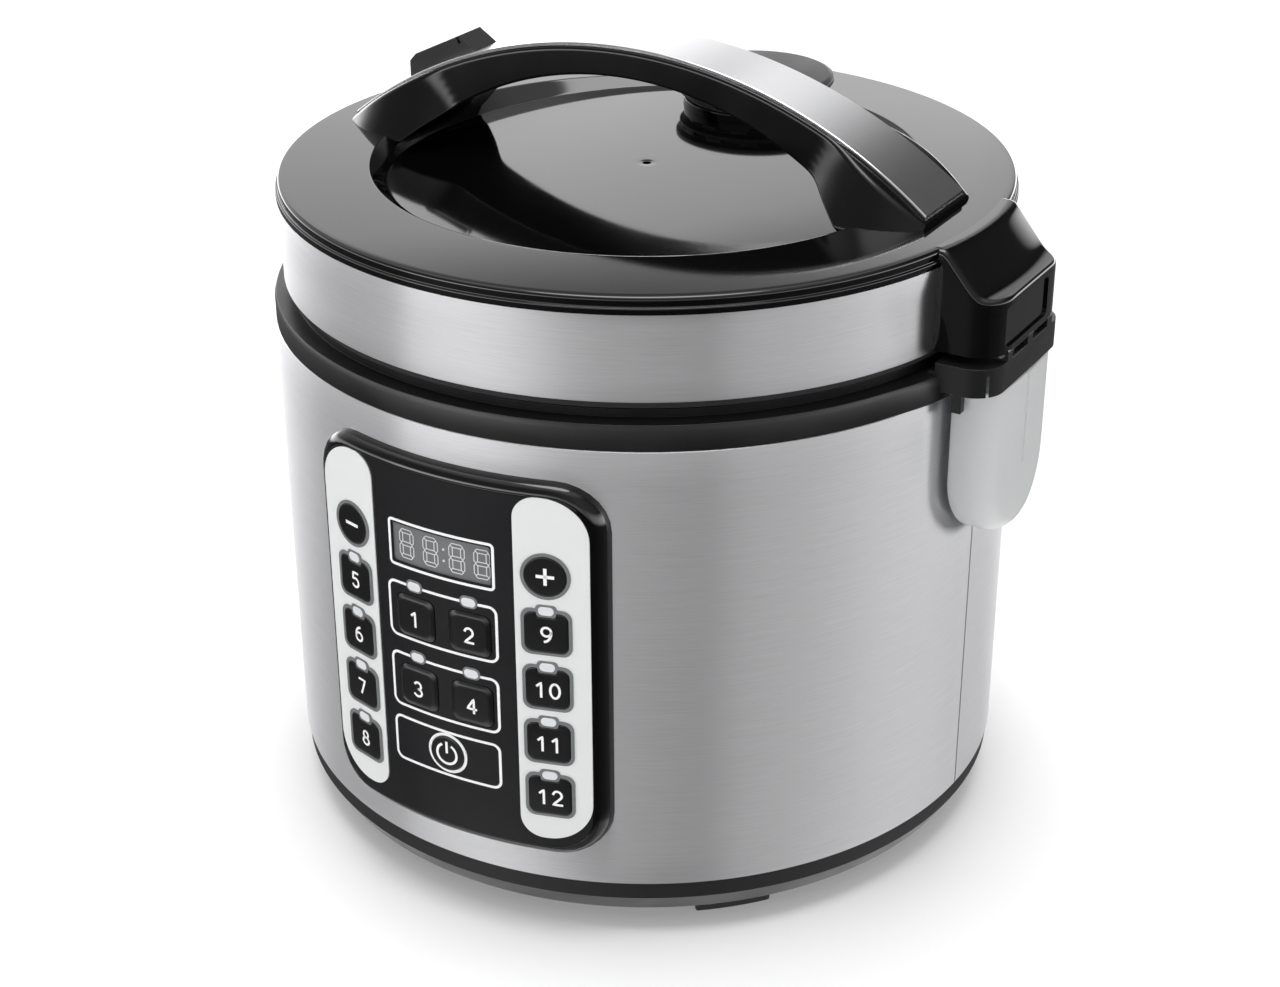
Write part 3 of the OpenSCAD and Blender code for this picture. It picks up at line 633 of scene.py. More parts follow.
def make_body():
    """Steel skin, black ring, base, feet and mains inlet."""
    gap = SEAM_W / BODY_R * 180 / pi
    steel = lathe("steel_skin", sheet_profile(BODY_R, SKIN_LOW, SKIN_HIGH, 0.4, 0.25, 12), 512,
                  start=SEAM_AZ + gap / 2, sweep=360 - gap, material="brushed_steel_sheet",
                  replaces="outer_wrap")
    cut(steel, parts_cutter(box_parts((-INLET_HALF, 110, INLET_LOW),
                                      (INLET_HALF, 150, INLET_HIGH))))
    draw_in(refined("body_rim", "rim_ring", 0.7, material="satin_black_polypropylene"))
    refined("base_pan", "base_moulding", 0.5, material="matt_black_polypropylene")
    refined("feet", "rubber_feet", 0.8, material="black_rubber")
    refined("inlet_socket", "mains_inlet", 0.5, material="satin_black_polypropylene")
    dress(["inlet_pins"], "contact_brass")


# ---------------------------------------------------------------- lid
def smooth_max(a, b, blend):
    """The larger of two values, with a rounded change-over blend wide."""
    return 0.5 * (a + b + np.sqrt((a - b) ** 2 + blend ** 2))


def ring_height(r):
    """Height of the lid's ring, which slopes down and steepens outwards."""
    out = np.maximum(r - SCOOP_R, 0)
    return LID_TOP - RING_TILT * out - RING_FALL * out ** 2


def lid_height(x, y):
    """Height of the lid's top: a ring, a slanting wall and a floor arched along X.

    The floor falls by x squared over twice its radius and has a small dimple round its middle;
    the wall falls by WALL_SLOPE for each millimetre inside the ring; the higher of the two
    counts, and never more than the ring.
    """
    r = np.hypot(x, y)
    dimple = 0.15 * np.exp(-(((r - PIN_R) / 1.2) ** 2))
    floor = FLOOR_TOP - x ** 2 / (2 * FLOOR_R) - dimple
    wall = LID_TOP - WALL_SLOPE * (SCOOP_R - r)
    return -smooth_max(-smooth_max(floor, wall, 0.2), -ring_height(r), 0.12)


def make_lid():
    """Steel band and polished top of the lid.

    The top is a grid of rings: over the top, round the edge by a quarter arc, down the outside
    and back inside under the top, LID_T below it in the middle.
    """
    lathe("lid_steel_band", sheet_profile(BAND_R, BAND_LOW, BAND_HIGH, 0.2, 0.2, 8), 512,
          material="brushed_steel_sheet", replaces="lid_band")
    edge = setting("lid_edge")
    inner = np.concatenate([[PIN_R, 1.9, 2.4, 3.2, 4.4, 6, 8, 11], np.arange(15, 86, 5),
                            np.arange(86, 99.4, 0.35), np.arange(101, 129, 2.0)])
    turn = np.linspace(0, pi / 2, 9)
    rim = np.column_stack([LID_R - edge + edge * np.sin(turn),
                           ring_height(LID_R - edge) - edge + edge * np.cos(turn)])
    profile = np.vstack([rim, LID_SIDE])
    floor = [70, 40, 10, PIN_R]
    r = np.concatenate([inner, profile[:, 0], floor])
    az = np.linspace(0, 2 * pi, 384, endpoint=False)
    x, y = r[:, None] * np.sin(az), -r[:, None] * np.cos(az)
    z = lid_height(x, y)
    z[len(inner):-len(floor)] = profile[:, 1:]
    z[-len(floor):] -= LID_T
    top = make_mesh("lid_top", np.stack([x, y, z], -1),
                    grid_faces(len(r), len(az), wrap_rows=True), sharp=50.0,
                    material="polished_black_abs", replaces="lid_shell")
    a = np.linspace(0, 2 * pi, 96, endpoint=False)
    ring = np.stack([WELL_R * np.cos(a), VENT_Y + WELL_R * np.sin(a)], 1)
    cut(top, bar_cutter(at_places(2, ring, (220, 260))))


# ---------------------------------------------------------------- handle
def handle_half(x):
    """Half width of the handle at x: narrowest in the middle, wider by x squared / 2 radii."""
    return HANDLE_HALF + x ** 2 / (2 * SIDE_R)


def make_handle():
    """Black handle, its steel strip and the release button.

    The handle is a row of upright sections. Each runs from the under side's arc, or the lid, up
    to the arc under the strip, and is as wide as the waisted handle or, near the lid, as the
    round foot, whichever is wider; the foot's radius falls by FOOT_SLOPE a millimetre.
    """
    edge = setting("handle_edge")
    x = np.concatenate([np.linspace(-116.4, -80, 60), np.linspace(-79, 79, 110),
                        np.linspace(80, 115.6, 60)])[:, None]
    high = HANDLE_Z + np.sqrt((HANDLE_R - TRIM_T - 0.05) ** 2 - x ** 2)
    low = np.maximum(UNDER_Z + np.sqrt(np.maximum(UNDER_R ** 2 - x ** 2, 0)), UNDER_LOW)
    share = (1 - np.cos(np.linspace(0, pi, 30))) / 2
    z = low + (high - low) * share
    foot = np.clip(FOOT_R - FOOT_SLOPE * (z - LID_TOP), 1.0, 28.4)
    flare = np.sqrt(np.maximum(foot ** 2 - (np.abs(x) - FOOT_X) ** 2, 0))
    half = smooth_max(handle_half(x), flare, 5.0) - 0.4
    for gap, radius in ((high - z, edge), (z - low, 0.7)):
        depth = np.clip(radius - gap, 0, radius)
        half = half - (radius - np.sqrt(radius ** 2 - depth ** 2))
    along = np.broadcast_to(x, z.shape)
    right, left = (np.stack([along, side, z], -1) for side in (-half, half))
    points = np.concatenate([right, left[:, ::-1]], 1)
    body = make_mesh("handle_body", points, capped(*points.shape[:2]), sharp=50.0,
                     material="satin_black_abs", replaces="handle_arch")

    x = np.linspace(-115.9, 114.8, 180)[:, None]
    outer = HANDLE_Z + np.sqrt((HANDLE_R - 0.03) ** 2 - x ** 2)
    inner = HANDLE_Z + np.sqrt((HANDLE_R - TRIM_T) ** 2 - x ** 2)
    across, up = np.array(STRIP_SECTION).T
    points = np.stack([np.broadcast_to(x, (len(x), len(up))), (handle_half(x) - 0.75) * across,
                       inner + (outer - inner) * up], -1)
    strip = make_mesh("handle_strip", points, capped(*points.shape[:2]), sharp=25.0,
                      material="brushed_steel_strip", replaces="handle_trim")
    for piece in (body, strip):
        cut(piece, bar_cutter(at_places(1, BUTTON_WELL, (-BUTTON_HALF, BUTTON_HALF))))
    refined("release_button", "release_rocker", 0.6, material="satin_black_polypropylene")


# ---------------------------------------------------------------- hinge housing
def make_hinge():
    """Polished housing of the lid's hinge.

    Its top is level with the lid up to the lid's edge, falls by RAMP_SLOPE for each millimetre
    of distance from the lid's middle, and levels out at the back. Rings of one outline rise
    up the sides, round the edge and draw in over the top towards a point in its middle.
    """
    low, high, corner = HINGE_Y - HINGE_HALF, HINGE_Y + HINGE_HALF, 12.0
    base = densify(rounded([(HINGE_IN, low, 0.1), (HINGE_OUT, low, corner),
                            (HINGE_OUT, high, corner), (HINGE_IN, high, 0.1)], 10), 1.6)

    def top(flat):
        fall = RAMP_SLOPE * 0.5 * np.logaddexp(0, (np.hypot(*flat.T) - RAMP_START) / 0.5)
        return smooth_max(LID_TOP - 0.7 - fall, RAMP_END, 2.2) - 0.3

    inward = np.array([136.0, HINGE_Y]) - base
    edge = 1.6
    rings = [np.column_stack([base, np.full(len(base), HINGE_LOW)])]
    for level in np.linspace(0.08, 1.0, 8):
        rise = (top(base) - edge - HINGE_LOW) * level
        rings.append(np.column_stack([base, HINGE_LOW + rise]))
    for t in np.linspace(0.15, 1.0, 7) * pi / 2:
        flat = base + inward * (edge * (1 - np.cos(t)) / 22.0)
        rings.append(np.column_stack([flat, top(flat) - edge + edge * np.sin(t)]))
    for share in np.linspace(0.09, 0.98, 22):
        flat = base + inward * share
        rings.append(np.column_stack([flat, top(flat)]))
    block = make_mesh("hinge_housing", np.vstack(rings), capped(len(rings), len(base)),
                      sharp=45.0, material="polished_black_abs", replaces="hinge_cover")
    panel = rounded([(-23.0, 206.4, 2.0), (11.0, 206.4, 2.0), (11.0, 220.6, 2.0),
                     (-23.0, 220.6, 2.0)], 6)
    cut(block, bar_cutter(at_places(0, panel, (148.2, 152.0))))


# ---------------------------------------------------------------- steam vent
def make_vent():
    """Steam vent cap in steps, with slots under its rim, and the well below it."""
    cap = lathe("steam_cap", rounded(
        [(0.01, 249.5, 0), (28.2, 249.5, 1.2), (30.0, 248.6, 0.8), (30.0, 246.6, 0.5),
         (27.4, 246.2, 0.3), (27.4, 243.9, 0.2), (28.6, 243.7, 0.2), (28.6, 242.8, 0.2),
         (25.2, 242.4, 0.3), (25.2, 240.4, 0.2), (26.0, 240.2, 0.2), (26.0, 239.6, 0.2),
         (22.6, 239.6, 0.2), (22.6, 236.0, 0.2), (21.0, 236.0, 0.2), (21.0, 245.6, 0.2),
         (0.01, 245.6, 0)], 4), 160, centre=(0, VENT_Y),
        material="matt_black_polypropylene", replaces="vent_cap")
    slots = []
    for k in range(12):
        slots.append(box_parts((25.6, -3.6, 244.3), (32, 3.6, 245.9), 30 * k + 9, (0, VENT_Y)))
        slots.append(box_parts((23.4, -3.2, 240.9), (32, 3.2, 242.1), 30 * k, (0, VENT_Y)))
    cut(cap, parts_cutter(join_parts(slots)))
    refined("vent_base", "vent_well", 0.4, material="polished_black_abs")


# ---------------------------------------------------------------- drip cup
def cup_solid(inset, low, high, top, edge):
    """Rings of a cup-shaped solid: a round-bottomed outline bent about the body's axis.

    The outline is a half circle with straight sides up to top, drawn in by inset; the outer
    edge is rounded by moving in by edge (1 - cos t) while going out by edge sin t.
    """
    centre = CUP_LOW + CUP_HALF

    def ring(extra, radius):
        r = CUP_HALF - inset - extra
        a = np.linspace(pi, 2 * pi, 49)
        side = np.linspace(centre, top, 14)[1:]
        y = np.concatenate([r * np.cos(a), np.full(13, r), np.linspace(r, -r, 15)[1:-1],
                            np.full(13, -r)]) + HINGE_Y
        z = np.concatenate([centre + r * np.sin(a), side, np.full(13, top), side[::-1]])
        return np.column_stack([np.sqrt(radius ** 2 - y ** 2), y, z])

    inmost = CUP_HALF - inset - 0.6
    rings = [ring(0, low), ring(0, high - edge)]
    rings += [ring(edge * (1 - np.cos(t)), high - edge + edge * np.sin(t))
              for t in np.linspace(0.12, 1, 9) * pi / 2]
    rings += [ring(extra, high) for extra in np.linspace(edge, inmost, 8)[1:]]
    rings += [ring(extra, low) for extra in np.linspace(inmost, 0, 8)[:-1]]
    return ring_parts(rings)


def make_cup():
    """Translucent drip cup: a thin rounded shell, open at the top."""
    edge = setting("cup_edge")
    cup = make_mesh("drip_catcher", *cup_solid(0.0, CUP_IN, CUP_OUT, 200.0, edge), sharp=50.0,
                    material="milky_polypropylene", replaces="drip_cup")
    cut(cup, parts_cutter(cup_solid(CUP_WALL, CUP_IN + CUP_WALL, CUP_OUT - CUP_WALL, 204.0,
                                    edge - 1.0)))
    cut(cup, parts_cutter(box_parts((120, -60, CUP_TOP), (160, 60, 230))))


# ---------------------------------------------------------------- panel
def bent(flat, height):
    """Places flat (x, z) points round the panel: x becomes arc length on its surface."""
    a = radians(PANEL_TURN) + flat[:, 0] / PANEL_R
    r = PANEL_R + height
    return np.stack([r * np.sin(a), -r * np.cos(a), flat[:, 1]], 1)


def pushed(flat, height):
    """Places flat (x, z) points by pushing them straight back onto the panel's cylinder."""
    y = -np.sqrt((PANEL_R + height) ** 2 - flat[:, 0] ** 2)
    return turned(np.column_stack([flat[:, 0], y, flat[:, 1]]), PANEL_TURN)


def prism(flat):
    """A cutter through the panel along a flat (x, z) outline."""
    return bar_cutter([turned(points, PANEL_TURN) for points in at_places(1, flat, (-100, -160))])


def tangent(az):
    """Places flat (x, z) points on the plane that touches the panel at azimuth az."""
    a = radians(az + PANEL_TURN)

    def place(flat, height):
        r = PANEL_R + height
        return np.column_stack([r * np.sin(a) + flat[:, 0] * np.cos(a),
                                -r * np.cos(a) + flat[:, 0] * np.sin(a), flat[:, 1]])
    return place


def side_loop(w, h, r, centre=(0.0, 0.0)):
    """Points round a rectangle with round corners and with points along its sides too."""
    arcs = rrect_loop(w, h, r, 7).reshape(4, 8, 2)
    part = np.arange(1, 14)[:, None] / 14
    rows = []
    for arc, following in zip(arcs, np.roll(arcs, -1, 0)):
        rows += [arc, arc[-1] + (following[0] - arc[-1]) * part]
    return np.vstack(rows) + np.array(centre)


def shift(flat, dx, dz):
    """Moves flat points."""
    return np.asarray(flat) + np.array([dx, dz])


def key_outline(inset):
    """A square key seen from the front, with a notch for its lamp at the top."""
    w, low, high, r = 7.45 - inset, -7.1 + inset, 7.7 - inset, max(2.7 - inset, 0.3)
    n, dip = 3.45 + inset, 5.95 - inset
    return rounded([(w, low, r), (w, high, r), (n, high, 0.5), (n, dip, 1.0), (-n, dip, 1.0),
                    (-n, high, 0.5), (-w, high, r), (-w, low, r)], 5)


def border_outline():
    """The printed border of a square key, which swells round the lamp."""
    return rounded([(8.7, -8.3, 3.4), (8.7, 9.0, 3.4), (3.7, 9.0, 0.5), (3.3, 10.6, 1.5),
                    (-3.3, 10.6, 1.5), (-3.7, 9.0, 0.5), (-8.7, 9.0, 3.4), (-8.7, -8.3, 3.4)],
                   5)


def key_places():
    """Azimuth, height and kind of every key by its name."""
    keys = {"key_minus": (-SIDE_AZ, ROUND_Z, "round"), "key_plus": (SIDE_AZ, ROUND_Z, "round"),
            "key_power": (0.0, POWER_Z, "power")}
    for i, z in enumerate(ROW_Z, 1):
        keys["key_left_%d" % i] = (-SIDE_AZ, z, "side")
        keys["key_right_%d" % i] = (SIDE_AZ, z, "side")
    for i, z in enumerate(MID_Z):
        keys["key_mid_%d" % (2 * i + 1)] = (-MID_AZ, z, "mid")
        keys["key_mid_%d" % (2 * i + 2)] = (MID_AZ, z, "mid")
    return keys


def key_shape(kind, clearance):
    """Outline of a key of one kind as a function of how far it is drawn in."""
    if kind == "side":
        return lambda inset: key_outline(inset - clearance)
    size, corner, steps = KEY_SHAPES[kind]

    def shape(inset):
        width = size - 2 * inset + 2 * clearance
        return rrect_loop(width, width, corner, steps)
    return shape


def key_parts(az, z, kind, clearance, rings):
    """A cushion with the outline of a key, at the key's place on the panel."""
    shape = key_shape(kind, clearance)
    return pad_parts(rings, lambda inset: shift(shape(inset), 0, z), tangent(az))


def tablet_parts(w, h, corner, z, rings, place):
    """A small rectangular cushion with round corners."""
    return pad_parts(rings, lambda i: shift(rrect_loop(w - 2 * i, h - 2 * i, corner, 6), 0, z),
                     place)


def hexagon(length, thick, upright):
    """One segment of a figure: a bar with pointed ends."""
    a, b = length / 2, thick / 2
    p = np.array([(-a, 0), (-a + b, b), (a - b, b), (a, 0), (a - b, -b), (-a + b, -b)], float)
    return p[:, ::-1] if upright else p


def display_parts():
    """Outlined seven-segment figures with a colon, as raised lines on the display window."""
    width, tall, thick, line = 6.2, 11.0, 1.7, 0.32
    bar, upright_bar = width - thick * 0.55, tall / 2 - thick * 0.45
    low, high = -0.72, -0.6
    spots = [(0, level * (tall - thick) / 2, False) for level in (0, 1, -1)]
    spots += [(sx * (width - thick) / 2, sz * (tall - thick) / 4, True)
              for sx in (-1, 1) for sz in (-1, 1)]
    parts = []
    for centre in FIGURE_X:
        for x, z, upright in spots:
            length = upright_bar if upright else bar
            outer, inner = (shift(hexagon(length - 2.6 * i, thick - 2 * i, upright),
                                  centre + x, DISPLAY_Z + z) for i in (0, line))
            parts.append(raised_parts(outer, inner, low, high, bent))
    for z in COLON_Z:
        dot = shift(rrect_loop(0.9, 0.9, 0.45, 4), COLON_X, DISPLAY_Z + z)
        parts.append(pad_parts([(0, low), (0, high)], lambda inset: dot, bent))
    return parts


def make_bezel(lip):
    """Polished rim of the panel, rounded up to its lip, which stands lip mm from the outside."""
    roll = setting("panel_edge")
    back = BODY_R + 0.04 - PANEL_R
    profile = [(0.0, back), (0.0, -roll)]
    profile += [(0.95 * roll * (1 - np.cos(t)), -roll + roll * np.sin(t))
                for t in np.linspace(0.1, 1, 10) * pi / 2]
    profile += [(lip + 0.12, -0.1), (lip + 0.14, -0.5), (lip + 0.14, back)]
    loops = [pushed(side_loop(PANEL_W - 2 * i, PANEL_TALL - 2 * i, PANEL_CORNER - i,
                              (0, PANEL_MID)), height) for i, height in profile]
    make_mesh("bezel", *ring_parts(loops), sharp=50.0, material="polished_black_abs",
              replaces="panel_bezel")


def make_film(inset):
    """Printed film inside the bezel, with an opening for each key and for the display."""
    film = lathe("keypad_film", densify([(PANEL_R - 2, 35), (PANEL_R, 35), (PANEL_R, 181),
                                         (PANEL_R - 2, 181)], 12), 96, start=-26, sweep=54,
                 material="printed_black_film", slot="gloss_black")
    shape = rrect_loop(PANEL_W - 2 * inset, PANEL_TALL - 2 * inset, PANEL_CORNER - inset, 12)
    cut(film, prism(shift(shape, 0, PANEL_MID)), "INTERSECT")
    cut(film, parts_cutter(join_parts([key_parts(*key, 0.22, [(0, -9), (0, 4)])
                                       for key in key_places().values()])))
    cut(film, prism(shift(rrect_loop(38.4, 14.4, 0.9, 4), DISPLAY_X, DISPLAY_Z)))
    smooth(film)


def make_display():
    """Grey window of the display and the figures on it."""
    section = [(PANEL_R + r, DISPLAY_Z + z)
               for r, z in ((-1.9, -7.6), (-0.7, -7.6), (-0.7, 7.6), (-1.9, 7.6))]
    lathe("display_window", section, 24, start=PANEL_TURN - 8.3, sweep=16.4,
          material="grey_display_window", replaces="display_lens")
    make_mesh("display_figures", *join_parts(display_parts()), material="pale_print",
              replaces="display_digits")


def make_borders():
    """Printed border round each key that has one, and the lamps."""
    lens = (5.3, 3.1, 1.5)
    borders, lamps = [], []
    for az, z, kind in key_places().values():
        place = tangent(az)
        if kind in ("side", "round"):
            outer = border_outline() if kind == "side" else rrect_loop(17.0, 17.0, 50, 10)
            hole = key_shape(kind, 0.12)(0)
            borders.append(ring_parts([place(shift(f, 0, z), up) for f, up in
                                       ((outer, 0.2), (outer, 0.66), (0.965 * outer, 0.74),
                                        (hole, 0.7), (hole, 0.2))]))
        if kind == "side":
            lamps.append(tablet_parts(*lens, z + 8.4, [(0, 0.6), (0, 0.84), (0.25, 0.93),
                                                       (0.6, 0.95)], place))
        if kind == "mid":
            borders.append(tablet_parts(6.7, 4.5, 2.1, z + 11.9, [(0, -0.2), (0, 0.22),
                                                                  (0.2, 0.3)], place))
            lamps.append(tablet_parts(*lens, z + 11.9, [(0, 0.2), (0, 0.42), (0.2, 0.5),
                                                        (0.6, 0.54)], place))
    make_mesh("key_borders", *join_parts(borders), material="grey_print", slot="grey_print",
              sharp=30)
    make_mesh("lamp_lenses", *join_parts(lamps), material="white_lamp_lens",
              replaces="status_lights")


def make_panel():
    """Bezel, film, strips, display, prints and lamps."""
    lip = 0.95 * setting("panel_edge")
    make_bezel(lip)
    make_film(lip + 0.3)
    refined("silver_strips", "strips", 0.12, segments=2, material="silver_painted_plastic")
    make_display()
    frames = []
    for x, z, w, h, r, line in PRINTED_FRAMES:
        outer, inner = (side_loop(w - 2 * i, h - 2 * i, r - i, (x, z)) for i in (0, line))
        frames.append(raised_parts(outer, inner, -0.1, 0.12, pushed))
    make_mesh("frames", *join_parts(frames), material="white_print", replaces="printed_frames")
    make_borders()


# ---------------------------------------------------------------- keys
def bow(cx, cy, rx, ry, start, end, steps=14):
    """Points along part of an ellipse."""
    a = np.radians(np.linspace(start, end, steps))
    return [(cx + rx * np.cos(t), cy + ry * np.sin(t)) for t in a]


# Figures as strokes in a box 0.6 wide and 1 high.
FIGURES = {
    "0": [bow(0.3, 0.5, 0.3, 0.5, 90, 450, 24)],
    "1": [[(0.08, 0.76), (0.34, 1.0), (0.34, 0.0)]],
    "2": [bow(0.3, 0.7, 0.28, 0.3, 165, -40) + [(0.02, 0.0), (0.6, 0.0)]],
    "3": [bow(0.27, 0.75, 0.25, 0.25, 150, -80), bow(0.27, 0.26, 0.3, 0.26, 80, -150)],
    "4": [[(0.45, 0.0), (0.45, 1.0), (0.0, 0.28), (0.62, 0.28)]],
    "5": [[(0.54, 1.0), (0.1, 1.0), (0.06, 0.56)] + bow(0.28, 0.31, 0.3, 0.31, 120, -145)],
    "6": [bow(0.5, 0.35, 0.5, 0.65, 100, 175, 10) + bow(0.3, 0.3, 0.3, 0.3, 180, 540, 20)],
    "7": [[(0.0, 1.0), (0.58, 1.0), (0.2, 0.0)]],
    "8": [bow(0.3, 0.75, 0.23, 0.25, 90, 450, 18), bow(0.3, 0.26, 0.29, 0.26, 90, 450, 20)],
    "9": [bow(0.1, 0.65, 0.5, 0.65, -80, -5, 10) + bow(0.3, 0.7, 0.3, 0.3, 0, 360, 20)],
    "+": [[(-0.45, 0.5), (1.05, 0.5)], [(0.3, -0.25), (0.3, 1.25)]],
    "-": [[(-0.45, 0.5), (1.05, 0.5)]],
}


def stroke_parts(line, width, place, high):
    """A raised line of even width along flat points: a row of four-point sections."""
    low = high - 0.1
    p = np.asarray(line, float)
    p = np.vstack([p[:1], p[1:][np.linalg.norm(np.diff(p, axis=0), axis=1) > 1e-3]])
    way = np.gradient(p, axis=0)
    way /= np.linalg.norm(way, axis=1, keepdims=True)
    across = np.column_stack([-way[:, 1], way[:, 0]]) * width / 2
    p[0] -= way[0] * width * 0.35
    p[-1] += way[-1] * width * 0.35
    rows = [place(p + across, low), place(p - across, low), place(p - across, high),
            place(p + across, high)]
    return np.stack(rows, 1).reshape(-1, 3), capped(len(p), 4)


def sign_parts(text, size, centre_z, width, place, high):
    """A number or sign made of raised strokes, centred on the plane through the axis."""
    parts = []
    for i, letter in enumerate(text):
        x = (i - (len(text) - 1) / 2) * 0.92 * size - 0.3 * size
        for line in FIGURES[letter]:
            flat = shift(np.asarray(line) * size, x, centre_z - size / 2)
            parts.append(stroke_parts(densify(flat, 0.7, False), width, place, high))
    return parts


def make_keys():
    """Key caps with soft edges and a plain number or sign on each."""
    rise = setting("key_height")
    high = rise + 0.06
    soft = [(0, -3.4), (0, rise - 0.32), (0.12, rise - 0.1), (0.32, rise - 0.02), (0.6, rise)]
    softer = [(0, -3.4), (0, rise - 0.75), (0.3, rise - 0.6), (0.9, rise - 0.18),
              (1.5, rise - 0.03), (2.2, rise)]
    numbers = ["key_%s_%d" % (row, i) for row in ("mid", "left", "right") for i in (1, 2, 3, 4)]
    for name, (az, z, kind) in key_places().items():
        place = tangent(az)
        make_mesh(name + "_cap", *key_parts(az, z, kind, 0.0, softer if kind == "mid" else soft),
                  material="key_black_film", replaces=name, sharp=30)
        if kind == "power":
            lines = (bow(0, 0, 3.9, 3.9, 122, 418, 36), [(0, 0.6), (0, 2.4), (0, 4.6)])
            parts = [stroke_parts(shift(line, 0, z), 0.95, place, high) for line in lines]
        elif kind == "round":
            parts = sign_parts("+" if name == "key_plus" else "-", 3.6, z, 1.15, place, high)
        else:
            parts = sign_parts(str(numbers.index(name) + 1), 5.4, z - 0.4, 0.85, place, high)
        make_mesh(name + "_sign", *join_parts(parts), body=name, material="white_print",
                  slot="pale_print")
    outer, inner = (shift(rrect_loop(d, d, 50, 12), 0, POWER_Z) for d in (15.6, 13.5))
    make_mesh("power_ring", *raised_parts(outer, inner, -0.1, 0.18, tangent(0.0)),
              material="white_print", slot="pale_print")


def make_spring():
    """The coil spring under the thermostat cap.

    A wire of round section runs round a circle and climbs in proportion to the angle, save that
    its height is held to the lowest and highest turn for the first and last three quarters of a
    turn. Its radius falls to nothing at each end as the root of the distance left. It is pressed
    flat together with the cap, down to the share that the cap's travel leaves.
    """
    wire, coil, low, high, turns, rim = 0.7, 8.0, 31.5, 39.3, 5.5, 16
    t = np.linspace(0, turns, 360)
    climb = np.clip((t - 0.75) / (turns - 1.5), 0, 1)
    height = low + wire + climb * (high - low - 2 * wire)
    thick = wire * np.sqrt(np.clip(np.minimum(t, turns - t) / 0.01, 0, 1))
    turn, around = np.meshgrid(2 * pi * t, np.arange(rim) * 2 * pi / rim, indexing="ij")
    reach = coil + thick[:, None] * np.cos(around)
    points = np.stack([reach * np.cos(turn), reach * np.sin(turn),
                       height[:, None] + thick[:, None] * np.sin(around)], -1)
    spring = make_mesh("coil_spring", points, grid_faces(len(t), rim),
                       material="plated_steel", replaces="thermostat_spring")
    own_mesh(spring)


def make_inside():
    """Everything that shows only when the lid is open or from below."""
    dress(["liner", "inner_lid"], "pressed_aluminium")
    dress(["heating_plate", "thermostat"], "cast_aluminium")
    dress(["heater_element"], "heater_sheath")
    dress(["band_heater"], "mica_band")
    dress(["power_board", "switch_board"], "green_board")
    dress(["board_parts"], "dark_components")
    dress(["base_screws", "hinge_pin", "hinge_springs", "latch_catch", "steam_tube",
           "handle_screws", "claw_pin", "button_pin", "latch_claw"], "plated_steel")
    dress(["cooking_pot"], "nonstick_coating")
    dress(["lid_lining"], "lining_plastic")
    dress(["lid_gasket"], "grey_silicone")
    make_spring()


# ---------------------------------------------------------------- studio
# Brightness of the cards below eye level by azimuth, in degrees from -Y towards +X.
LOW_CARDS = ((-180, 2.1), (-160, 2.3), (-143, 2.55), (-126, 1.9), (-110, 2.0), (-94, 1.45),
             (-78, 0.98), (-62, 1.0), (-48, 1.2), (-42, 2.15), (-29, 2.2), (-14, 1.82),
             (1, 1.15), (8, 0.85), (18, 0.66), (27, 0.6), (34, 0.52), (42, 0.47), (50, 0.38),
             (55, 0.62), (66, 0.82), (76, 0.92), (90, 1.15), (100, 1.45), (122, 1.9),
             (137, 1.95), (146, 1.85), (155, 1.75), (163, 1.9), (172, 2.05), (180, 2.1))
# Brightness of the cards above eye level by azimuth.
HIGH_CARDS = ((-180, 0.45), (-176, 0.7), (-172, 1.0), (-168, 1.12), (-160, 1.12), (-150, 0.9),
              (-140, 0.6), (-120, 1.2), (-90, 0.8), (-60, 0.25), (0, 0.25), (60, 0.5),
              (100, 0.35), (140, 0.1), (170, 0.05), (176, 0.1), (180, 0.45))
# Factor on the lower cards by degrees above level.
LOW_HEIGHTS = ((-90, 0.7), (-44, 0.8), (-37, 0.1), (-11, 0.1), (-5, 2.4), (10, 2.4))
# Brightness added by the large soft light overhead, and by the lamp in its middle.
OVERHEAD, ZENITH = 0.7, 6.5
# Brightness of the wall behind the cooker by degrees above level.
BEHIND_HEIGHTS = ((-5, 1.3), (12, 1.6), (15, 1.78), (22.8, 1.74), (23.6, 1.45), (24.4, 1.1),
                  (25.4, 0.68), (26.4, 0.4), (27.6, 0.2), (32, 0.4), (90, 0.9))
# Shares over the circle and over the height: the wall behind, the upper row, the light overhead.
REAR_SHARE = ((0.0, 0.0), (0.045, 0.0), (0.058, 1.0), (0.092, 1.0), (0.108, 0.8), (0.25, 0.0))
UPPER_SHARE = ((0.0, 0.0), (0.52, 0.0), (0.6, 1.0))
OVERHEAD_SHARE = ((0.0, 0.0), (0.854, 0.0), (0.933, OVERHEAD / ZENITH),
                  (0.972, OVERHEAD / ZENITH), (0.977, 1.0))
LENS, CAMERA_AT, CAMERA_TURN = 65.902, (0.40342, -0.68488, 0.50984), (63.0371, 0.1804, 30.6109)
FLOOR_GLOW, FLOOR_GRAIN = 0.22, 1.2


def set_stops(ramp, points):
    """Sets a colour ramp to (place, grey) points."""
    ramp.elements.remove(ramp.elements[0])
    for i, (place, value) in enumerate(points):
        element = ramp.elements.new(place) if i else ramp.elements[0]
        element.position = place
        element.color = (value, value, value, 1)


def by_azimuth(points):
    """Ramp points over the full circle from (degrees, brightness) points, as thirds."""
    return [((degrees + 180) / 360, value / 3) for degrees, value in points]


def by_height(points):
    """Ramp points over the height of a direction from (degrees above level, brightness)."""
    return [((np.sin(radians(degrees)) + 1) / 2, value / 3) for degrees, value in points]


